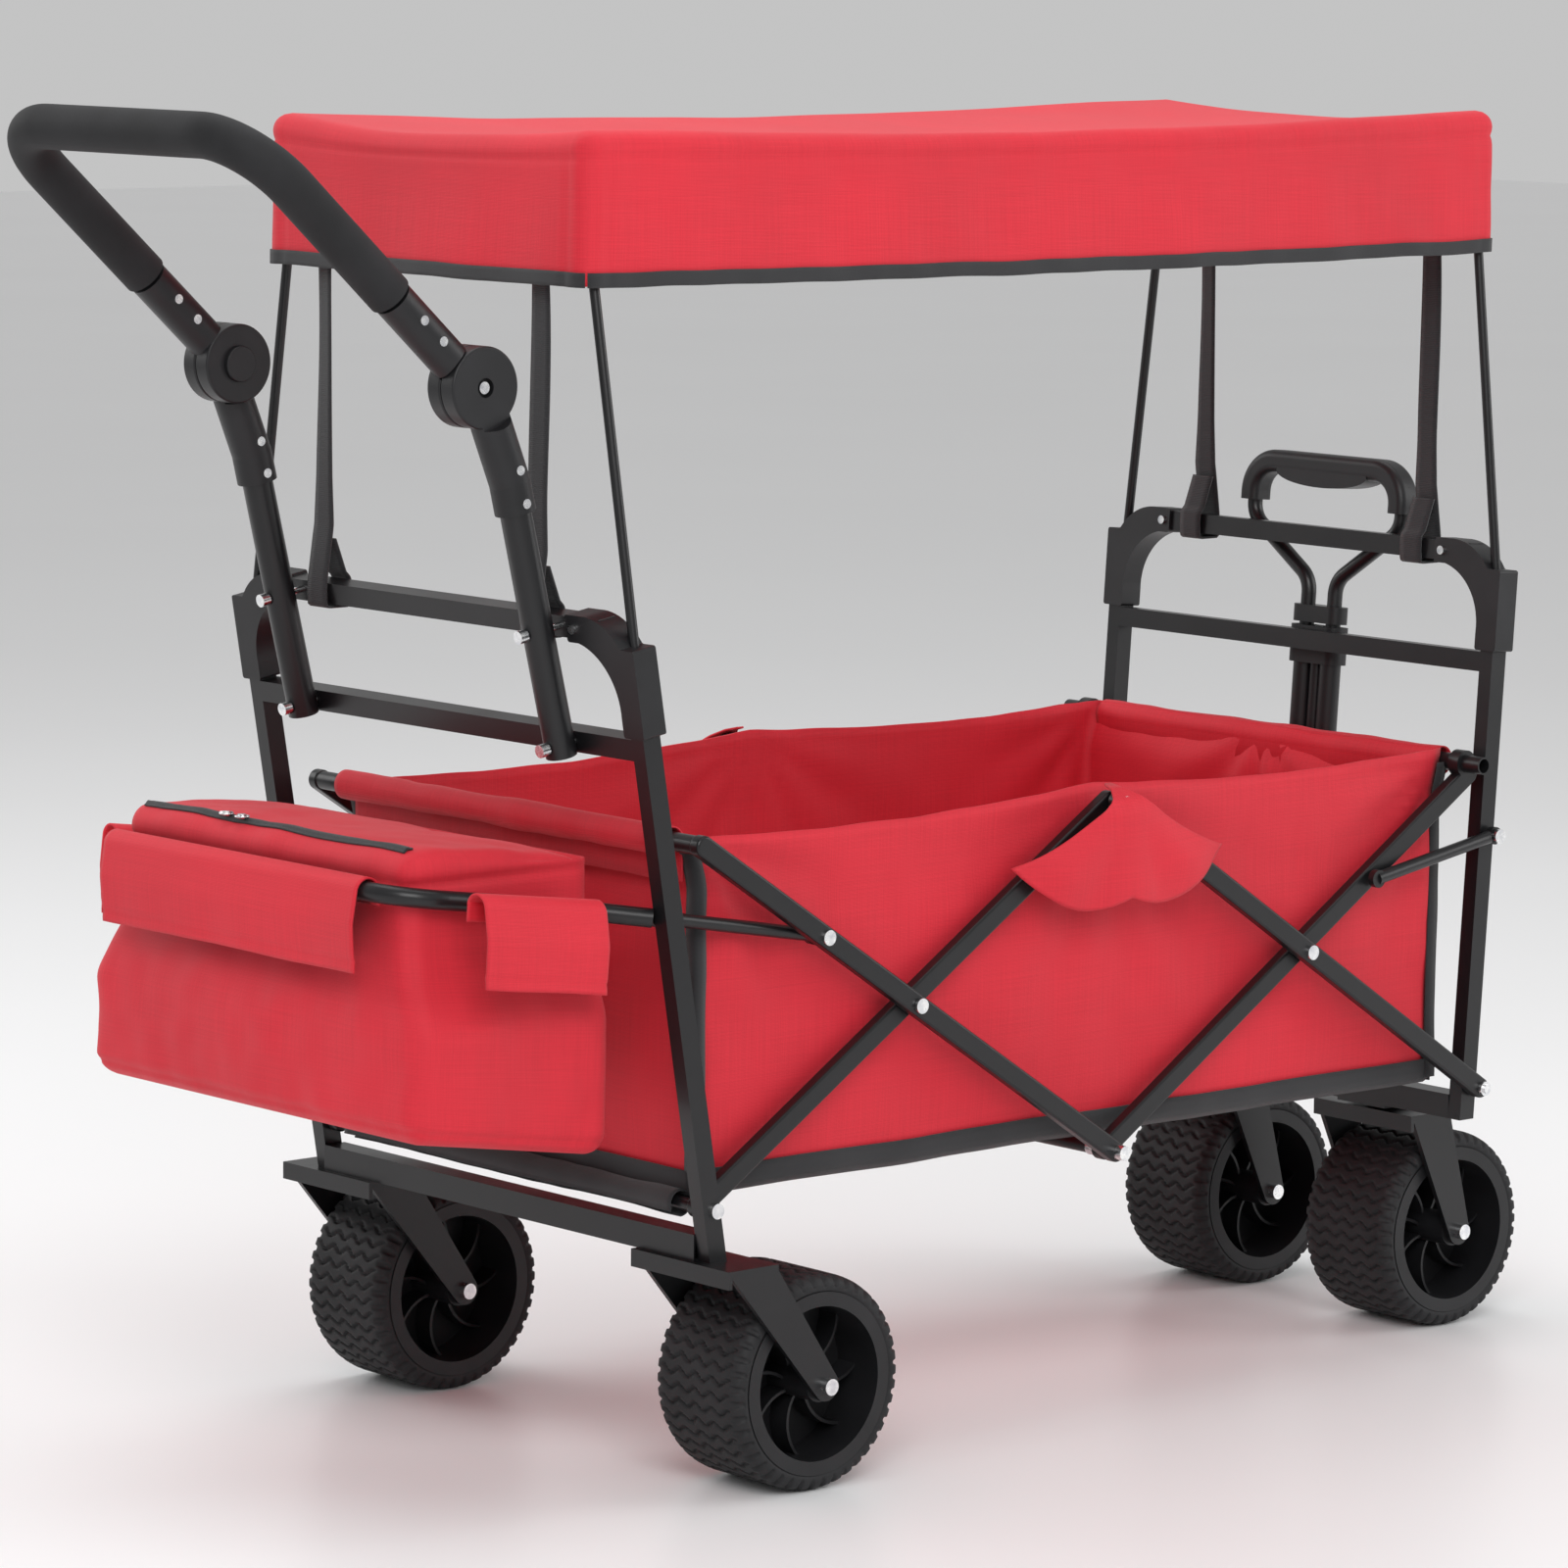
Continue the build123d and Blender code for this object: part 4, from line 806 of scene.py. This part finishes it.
def strap_strip(name, body, bar, top, y, outward):
    """One strap from the canopy's end panel to a crossbar and round it."""
    gap = BAR_CLEAR + 0.001
    bar_x, bar_z = bar
    ring = [
        (1, 0.9), (1.05, 0), (1, -0.9), (0.8, -1.05), (-0.8, -1.05), (-1, -0.9), (-1.05, 0), (-1, 0.9), (-0.6, 1.3),
    ]
    points = [top, (bar_x + outward * 0.006, bar_z + DOUBLED + 0.012)]
    points += [(bar_x + outward * a * gap, bar_z + b * gap) for a, b in ring]
    points.append((bar_x + outward * 0.0035, bar_z + DOUBLED))
    length = sum(math.dist(a, b) for a, b in zip(points, points[1:]))
    bm = bmesh.new()
    bmesh.ops.create_grid(bm, x_segments=150, y_segments=4, size=0.5)
    layer = bm.loops.layers.uv.verify()
    for face in bm.faces:
        for loop in face.loops:
            loop[layer].uv = (loop.vert.co.y * 2 * STRAP_HALF, loop.vert.co.x * length)
    for vert in bm.verts:
        distance = (vert.co.x + 0.5) * length
        x, z = along_path(points, distance)
        free = smooth_step(z, bar_z + DOUBLED, top[1]) * (1 - smooth_step(z, top[1] - 0.05, top[1]))
        width = STRAP_HALF * (1 + 0.18 * (1 - smooth_step(z, bar_z + DOUBLED, bar_z + DOUBLED + 0.06)))
        turned = 0.5 * free * math.sin(5 * (z - bar_z) + 9 * y)
        across = vert.co.y * 2 * width
        belly = 0.004 * free * ripple(0, y, z, 0.12, 2.6)
        vert.co = Vector((x + across * math.sin(turned) + belly, y + across * math.cos(turned), z))
    strap = finish_piece(bm, name, black_webbing, body)
    add_modifier(strap, "SOLIDIFY", thickness=0.0016, offset=0.0)
    return strap


def bar_place(node, lean, outward):
    """Middle of the upper of two leaning square crossbars."""
    low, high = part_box(node)
    half = 0.009 * (math.cos(math.radians(lean)) + math.sin(math.radians(lean)))
    return (high[0] - half if outward > 0 else low[0] + half), high[2] - half


strap_top = canopy_low[2] + 0.045
for end_name, lean, outward in (("rear", 9.9, -1), ("front", 4.0, 1)):
    bar = bar_place(f"{end_name}_crossbars", lean, outward)
    panel_x = canopy_high[0] if outward > 0 else canopy_low[0]
    for side, side_name in ((1, "left"), (-1, "right")):
        top = (panel_x - outward * 0.011, strap_top)
        name = f"{end_name}_strap_{side_name}"
        strap_strip(name, f"{end_name}_frame", bar, top, side * STRAP_Y, outward)
    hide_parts(f"{end_name}_straps")
# %% [markdown]
# ## The rear bag
# The bag hangs in a steel hoop behind the wagon. Above the hoop it is a neat box with a padded lid; below
# the hoop its own weight spreads it. One cube, cut fine, is pushed to that outline: a rounded box first,
# then the spread, then the puffs between the seams, and last a groove wherever two panels are sewn
# together.

# %% Fill out the bag
bag_low, bag_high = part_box("storage_bag")
hoop_low, hoop_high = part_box("bag_hoop")
hoop_points = [nodes["bag_hoop"].matrix_world @ vert.co for vert in nodes["bag_hoop"].data.vertices]
hoop_rear = [point.z for point in hoop_points if point.x < hoop_low[0] + 0.017]
hoop_front = [point.z for point in hoop_points if point.x > hoop_high[0] - 0.02]
hoop_rear_z = (min(hoop_rear) + max(hoop_rear)) / 2
hoop_front_z = (min(hoop_front) + max(hoop_front)) / 2
BAG_ROUND = 0.020
BAG_SPREAD_X = 0.015
BAG_SPREAD_Y = 0.029
BAG_REAR_LIFT = 0.033
NECK = (0.40, 0.475)


def shape_bag(point):
    """Where a point of the bag's plain box goes on the filled bag."""
    low = (bag_low[0] + BAG_SPREAD_X, bag_low[1] + BAG_SPREAD_Y, bag_low[2])
    high = (bag_high[0] - 0.004, bag_high[1] - BAG_SPREAD_Y, bag_high[2] - 0.004)
    share = [(point[i] - bag_low[i]) / (bag_high[i] - bag_low[i]) for i in range(3)]
    start = [low[i] + (high[i] - low[i]) * share[i] for i in range(3)]
    x, y, z = round_box(start, low, high, BAG_ROUND, keep_floor=False)
    rear = 1 - (x - low[0]) / (high[0] - low[0])
    across = y / high[1]
    height = (z - low[2]) / (high[2] - low[2])
    z += BAG_REAR_LIFT * rear * (1 - height)
    spread = 1 - smooth_step(z, *NECK)
    puff = math.sin(math.pi * min(max((z - low[2]) / (NECK[1] - low[2]), 0), 1))
    rear_side = smooth_step(rear, 0.90, 1.0)
    flank = smooth_step(abs(across), 0.93, 1.0) * (1 if y > 0 else -1)
    y += (1 if y > 0 else -1) * abs(across) * spread * BAG_SPREAD_Y
    x -= rear * spread * BAG_SPREAD_X
    folds = 0.0055 * ripple(x, y, 0.55 * z, 0.085, 5.1) + 0.0022 * ripple(x, y, z, 0.032, 2.9)
    lid = smooth_step(z, high[2] - 0.02, high[2] - 0.004)
    x -= rear_side * (0.004 * puff * (1 - across * across) + folds * (0.4 + 0.6 * spread) - 0.002)
    y += flank * (0.003 * puff + folds * (0.4 + 0.6 * spread) - 0.003)
    crown = 0.003 * math.cos(1.4 * across) * math.sin(math.pi * rear)
    z += lid * (crown - 0.020 * (1 - rear) ** 2 + 0.6 * folds)
    hem_line = 0.0022 * math.exp(-((height - 0.045) / 0.012) ** 2)
    lid_line = 0.0026 * math.exp(-((z - high[2] + 0.026) / 0.0035) ** 2)
    x += rear_side * (hem_line + lid_line)
    y -= flank * (hem_line + lid_line)
    return Vector((x, y, z))


bag = bmesh.new()
bmesh.ops.create_cube(bag, size=1.0)
bmesh.ops.scale(bag, vec=[b - a for a, b in zip(bag_low, bag_high)], verts=bag.verts)
bmesh.ops.translate(bag, vec=[(a + b) / 2 for a, b in zip(bag_low, bag_high)], verts=bag.verts)
bmesh.ops.subdivide_edges(bag, edges=bag.edges, cuts=79, use_grid_fill=True)
bag.normal_update()
lay_out_cloth(bag)
for vert in bag.verts:
    vert.co = shape_bag(vert.co)
bag_area = sum(face.calc_area() for face in bag.faces)
bag_cloth = finish_piece(bag, "bag_cloth", red_cloth, "rear_frame", ["storage_bag"])
bag_sizes = [b - a for a, b in zip(bag_low, bag_high)]
print("bag", [round(v, 3) for v in bag_sizes], "of", round(bag_area, 2), "square metres of cloth")

# %% [markdown]
# ### Flaps over the hoop
# Flaps sewn under the lid fold out over the hoop and close on themselves with hook-and-loop tape, and
# these carry the bag. A flap is flat cloth laid over a round bar: up from the lid's seam, over the bar,
# and down its outside.

# %% Fold the flaps over the hoop
FLAP_FALL = 0.064
HOOP_RADIUS = 0.008


def hoop_z(x):
    """Height of the hoop's middle at a place along the wagon."""
    share = (x - hoop_low[0]) / (hoop_high[0] - hoop_low[0])
    return hoop_rear_z + (hoop_front_z - hoop_rear_z) * min(max(share, 0), 1)


def over_hoop(inset, centre_z, distance):
    """Distance out from the hoop's middle and height, along a cloth laid over the hoop."""
    reach = HOOP_RADIUS + 0.0035
    points = [(-inset, centre_z - 0.012), (-reach * 0.9, centre_z + reach * 0.5)]
    for turn in range(0, 181, 20):
        angle = math.radians(turn)
        points.append((-reach * math.cos(angle), centre_z + reach * math.sin(angle)))
    points.append((reach + 0.004, centre_z - 0.025))
    points.append((reach + 0.001, centre_z - FLAP_FALL))
    length = sum(math.dist(a, b) for a, b in zip(points, points[1:]))
    return along_path(points, distance * length), length


def hoop_flap(name, start, end, side, width_steps, fall=1.0, material=red_cloth, lift=0.0):
    """A flap over the hoop's rear run (side 0) or one of its side runs."""
    bm = bmesh.new()
    bmesh.ops.create_grid(bm, x_segments=width_steps, y_segments=40, size=0.5)
    layer = bm.loops.layers.uv.verify()
    _, length = over_hoop(0.012, 0.5, 0.5)
    for face in bm.faces:
        for loop in face.loops:
            loop[layer].uv = (loop.vert.co.x * abs(end - start), loop.vert.co.y * length)
    for vert in bm.verts:
        along = start + (vert.co.x + 0.5) * (end - start)
        down = (vert.co.y + 0.5) * fall
        seed = side + 3.3
        centre_z = hoop_z(along) if side else hoop_rear_z
        (out, z), _ = over_hoop(0.012, centre_z, down)
        wave = 0.0022 * ripple(along, seed, 0.4 * z, 0.055, seed) * smooth_step(down, 0.45, 1.0)
        seam = 0.0012 * math.exp(-((down - 0.93) / 0.018) ** 2)
        out += wave - seam + lift * smooth_step(down, 0.3, 0.5)
        z += 0.003 * ripple(along, seed, 0, 0.09, 1.2) * smooth_step(down, 0.6, 1.0)
        if side:
            vert.co = Vector((along, side * (hoop_high[1] - HOOP_RADIUS + out), z))
        else:
            vert.co = Vector((hoop_low[0] + HOOP_RADIUS - out, along, z))
    piece = finish_piece(bm, name, material, "rear_frame")
    add_modifier(piece, "SOLIDIFY", thickness=0.0018, offset=0.0)
    return piece


side_start = hoop_low[0] + 0.052
side_end = min(hoop_high[0] - 0.045, side_start + 0.125)
hoop_flaps = [hoop_flap("bag_flap_rear", -0.165, 0.180, 0, 90)]
hoop_flaps.append(
    hoop_flap("bag_grip_tape_rear", -0.155, 0.170, 0, 60, 1.0, black_binding, -0.0022)
)
for side, side_name in ((1, "left"), (-1, "right")):
    hoop_flaps.append(hoop_flap(f"bag_flap_{side_name}", side_start, side_end, side, 50))
print(len(hoop_flaps), "flaps; the hoop is at", round(hoop_rear_z, 3), "behind and", round(hoop_front_z, 3), "in front")

# %% [markdown]
# ### The zip
# The lid opens along its rear edge with a coil zip: a black tape with a raised coil along its middle, and
# two sliders with wire pulls a third of the way along. The tape follows the bag's own shape function, a
# hair above it.

# %% Sew in the zip
ZIP_INSET = 0.016
ZIP_HALF = 0.0065
ZIP_END = 0.022              # from the bag's sides to the zip's ends


def zip_place(along, across):
    """A point of the zip's tape on the lid."""
    point = (bag_low[0] + ZIP_INSET + across, along, bag_high[2])
    coil = 0.0016 * math.exp(-(across / 0.0022) ** 2)
    return shape_bag(point) + Vector((0, 0, 0.0012 + coil))


tape_strip(
    "bag_zip", bag_low[1] + ZIP_END, bag_high[1] - ZIP_END, 2 * ZIP_HALF, zip_place,
    steps=200, rows=10,
)


def zip_pull(name, y, turn):
    """A small slider with a wire loop that lies on the cloth."""
    base = zip_place(y, 0.0)
    bm = bmesh.new()
    slider = bmesh.ops.create_cube(bm, size=1.0)["verts"]
    bmesh.ops.scale(bm, vec=(0.008, 0.011, 0.0035), verts=slider)
    bmesh.ops.bevel(bm, geom=bm.edges[:], offset=0.001, segments=2, affect="EDGES")
    ring = bmesh.ops.create_circle(bm, segments=8, radius=0.0009)["verts"]
    bmesh.ops.rotate(bm, verts=ring, matrix=Matrix.Rotation(math.radians(90), 3, "X"))
    bmesh.ops.translate(bm, vec=(0.0055, 0, 0), verts=ring)
    edges = [edge for edge in bm.edges if edge.verts[0] in ring and edge.verts[1] in ring]
    bmesh.ops.spin(
        bm, geom=ring + edges, cent=(0, 0, 0), axis=(0, 0, 1), angle=2 * math.pi, steps=24, use_merge=True,
    )
    bmesh.ops.remove_doubles(bm, verts=bm.verts, dist=1e-6)
    place = Matrix.Translation(base + Vector((-0.004, 0, 0.002))) @ Matrix.Rotation(turn, 4, "Z")
    bmesh.ops.transform(bm, matrix=place, verts=bm.verts)
    return finish_piece(bm, name, bright_zinc, "rear_frame")


pulls = [zip_pull("zip_pull_first", 0.070, 0.3), zip_pull("zip_pull_second", 0.045, -0.4)]
print("zip", round(bag_high[1] - bag_low[1] - 2 * ZIP_END, 3), "long with", len(pulls), "pulls")
# %% [markdown]
# ## Tyres
# The broad tyres are moulded foam. The tread is a drum, cut by zig-zag slots about every 13 mm, with
# small notches on the shoulders and smooth walls. A flat grid is rolled twice: one way round the tyre's
# section and the other way round the axle, and joined along both seams, which gives a closed ring with
# even squares. Then the slots are pressed in along the radius.

# %% Roll the tyres
TREAD_PITCHES = 44
SLOT_DEPTH = 0.0030
ROUND_STEPS = 528
SECTION_STEPS = 84


def section_points(radius, half):
    """The tyre's section as (radius, distance from the middle), starting and ending on the rim."""
    seat = radius - 0.0196
    outer = [
        (seat, half - 0.0062), (radius - 0.0138, half - 0.0004), (radius - 0.0105, half + 0.0002),
        (radius - 0.0060, half - 0.0006), (radius - 0.0028, half - 0.0030), (radius - 0.0009, half - 0.0075),
        (radius - 0.0001, half - 0.0130), (radius, half * 0.4),
    ]
    other = [(r, -y) for r, y in reversed(outer)]
    return outer + other + [outer[0]]


def tread(angle, y, half):
    """How deep the tread is cut at a place, 0 to 1."""
    band = abs((abs(y) / half * 2.6) % 1.0 - 0.5) * 2
    phase = (TREAD_PITCHES * angle / (2 * math.pi) + 0.55 * band) % 1.0
    inside = 1 - smooth_step(abs(y), half - 0.012, half - 0.009)
    slot = (1 - smooth_step(abs(phase - 0.5), 0.06, 0.12)) * inside
    notch_phase = (TREAD_PITCHES * angle / (2 * math.pi)) % 1.0
    shoulder = smooth_step(abs(y), half - 0.009, half - 0.006)
    notch = (1 - smooth_step(abs(notch_phase - 0.5), 0.14, 0.22)) * shoulder
    return max(slot, notch)


def tyre(node, body):
    """A treaded tyre round the place of a plain one."""
    low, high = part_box(node)
    centre = [(a + b) / 2 for a, b in zip(low, high)]
    radius = (high[2] - low[2]) / 2
    half = (high[1] - low[1]) / 2
    points = section_points(radius, half)
    length = sum(math.dist(a, b) for a, b in zip(points, points[1:]))
    bm = bmesh.new()
    bmesh.ops.create_grid(bm, x_segments=ROUND_STEPS, y_segments=SECTION_STEPS, size=0.5)
    for vert in bm.verts:
        angle = 2 * math.pi * (vert.co.x + 0.5)
        reach, y = along_path(points, (vert.co.y + 0.5) * length * 0.999999)
        if reach > radius - 0.0075:
            reach -= SLOT_DEPTH * tread(angle, y, half)
        x = centre[0] + reach * math.cos(angle)
        z = centre[2] + reach * math.sin(angle)
        vert.co = Vector((x, centre[1] + y, z))
    bmesh.ops.remove_doubles(bm, verts=bm.verts, dist=2e-5)
    return finish_piece(bm, node.replace("tyre", "tread"), tyre_rubber, body, [node])


tyres = []
for end_name in ("rear", "front"):
    for side_name in ("left", "right"):
        tyres.append(tyre(f"{end_name}_tyre_{side_name}", f"{end_name}_wheel_{side_name}"))
print(len(tyres), "tyres of", len(tyres[0].data.polygons), "squares")
# %% [markdown]
# ## Cloth and the fold
# When the wagon folds, the end frames come together and the cloth between them crumples. Each piece of
# the tub and the canopy only gets a mesh of its own here; nothing presses it flat. The rolls at the rear
# stay with the rear frame.

# %% Give the folding cloth meshes of their own
tub_pieces = [tub_cloth, front_sleeve]
canopy_pieces = [canopy_cloth, *canopy_tapes]
folding_names = (
    "bottom_binding", "rear_corner_binding", "front_corner_binding", "front_bottom_binding", "hub_flap",
)
for thing in bpy.data.objects:
    if thing.name.startswith(folding_names):
        tub_pieces.append(thing)
for piece in tub_pieces:
    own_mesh(piece)
for piece in canopy_pieces:
    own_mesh(piece)
print(len(tub_pieces), "tub pieces and", len(canopy_pieces), "canopy pieces fold")

# %% [markdown]
# ## Floor, light and camera
# A plain pale sweep and large soft lights are what a catalogue uses for such an object: nothing is
# reflected but broad white areas, so black steel shows its edges as long highlights. The camera stands
# far away with a long lens, which keeps the wagon's lines nearly parallel. The small shift only frames
# the wagon as a whole.

# %% Floor
def studio_floor():
    """A wide pale floor."""
    bm = bmesh.new()
    bmesh.ops.create_grid(bm, x_segments=2, y_segments=2, size=20.0)
    mesh = bpy.data.meshes.new("studio_floor")
    bm.to_mesh(mesh)
    bm.free()
    floor = bpy.data.objects.new("studio_floor", mesh)
    bpy.context.scene.collection.objects.link(floor)
    material, tree, shader = start_material("studio_floor", (0.90, 0.90, 0.905), 0.34)
    cloud = noise_map(tree, coordinates(tree, "Object"), 0.8, 2)
    tree.links.new(ramp(tree, cloud, (0.88, 0.88, 0.885), (0.92, 0.92, 0.925)), shader.inputs["Base Color"])
    mesh.materials.append(material)
    floor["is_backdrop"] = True
    return floor


floor = studio_floor()
print("floor laid at z =", floor.location.z)


# %% Lights
def soft_light(name, place, aim, size, power, colour=(1, 1, 1)):
    """A large rectangular light aimed at a point."""
    data = bpy.data.lights.new(name, "AREA")
    data.shape = "RECTANGLE"
    data.size, data.size_y = size
    data.energy = power
    data.color = colour
    lamp = bpy.data.objects.new(name, data)
    lamp.location = place
    lamp.rotation_euler = (Vector(aim) - Vector(place)).to_track_quat("-Z", "Y").to_euler()
    bpy.context.scene.collection.objects.link(lamp)
    return lamp


middle = (0.0, 0.0, 0.55)
lights = [
    soft_light("key_light", (-2.6, -3.4, 3.0), middle, (2.6, 2.2), 112),
    soft_light("fill_light", (3.6, -2.6, 1.9), middle, (2.4, 2.4), 52),
    soft_light("top_light", (0.2, 0.6, 3.9), middle, (3.2, 3.2), 66),
    soft_light("back_light", (-1.6, 3.6, 2.2), middle, (2.6, 1.8), 44),
]
world = bpy.data.worlds.new("studio")
world.use_nodes = True
world.node_tree.nodes["Background"].inputs["Color"].default_value = (1.0, 1.0, 1.0, 1)
world.node_tree.nodes["Background"].inputs["Strength"].default_value = 0.55
bpy.context.scene.world = world
bpy.context.scene.view_settings.view_transform = "Standard"
print(len(lights), "lights")

# %% Camera
CAMERA_PLACE = (-3.7984, -4.295, 1.308)
CAMERA_TURN = math.radians(40.42)
CAMERA_PITCH = math.radians(-6.27)
CAMERA_ROLL = math.radians(0.52)
level = math.cos(CAMERA_PITCH)
forward = Vector((math.sin(CAMERA_TURN) * level, math.cos(CAMERA_TURN) * level, math.sin(CAMERA_PITCH)))
level_right = Vector((math.cos(CAMERA_TURN), -math.sin(CAMERA_TURN), 0))
level_up = level_right.cross(forward)
right = math.cos(CAMERA_ROLL) * level_right + math.sin(CAMERA_ROLL) * level_up
up = -math.sin(CAMERA_ROLL) * level_right + math.cos(CAMERA_ROLL) * level_up
turn = Matrix((right, up, -forward)).transposed()
camera_data = bpy.data.cameras.new("camera")
camera_data.lens = 151.7
camera_data.sensor_width = 36.0
camera_data.shift_x = 0.065
camera_data.shift_y = -0.10
camera = bpy.data.objects.new("camera", camera_data)
camera.matrix_world = Matrix.Translation(CAMERA_PLACE) @ turn.to_4x4()
bpy.context.scene.collection.objects.link(camera)
bpy.context.scene.camera = camera
print("camera", [round(v, 2) for v in camera.location], "lens", camera_data.lens)

# %% [markdown]
# Cloth may stand a little proud of the solids that it covers, but the wagon's overall size is fixed. Both
# boxes are printed so that they can be compared.

# %% Sizes and the last line
seen_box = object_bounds()
boxes = {
    "cad": [list(map(float, corner)) for corner in cad_box],
    "visual": [list(map(float, corner)) for corner in seen_box],
}
print("cad box", boxes["cad"])
print("visual box", boxes["visual"])
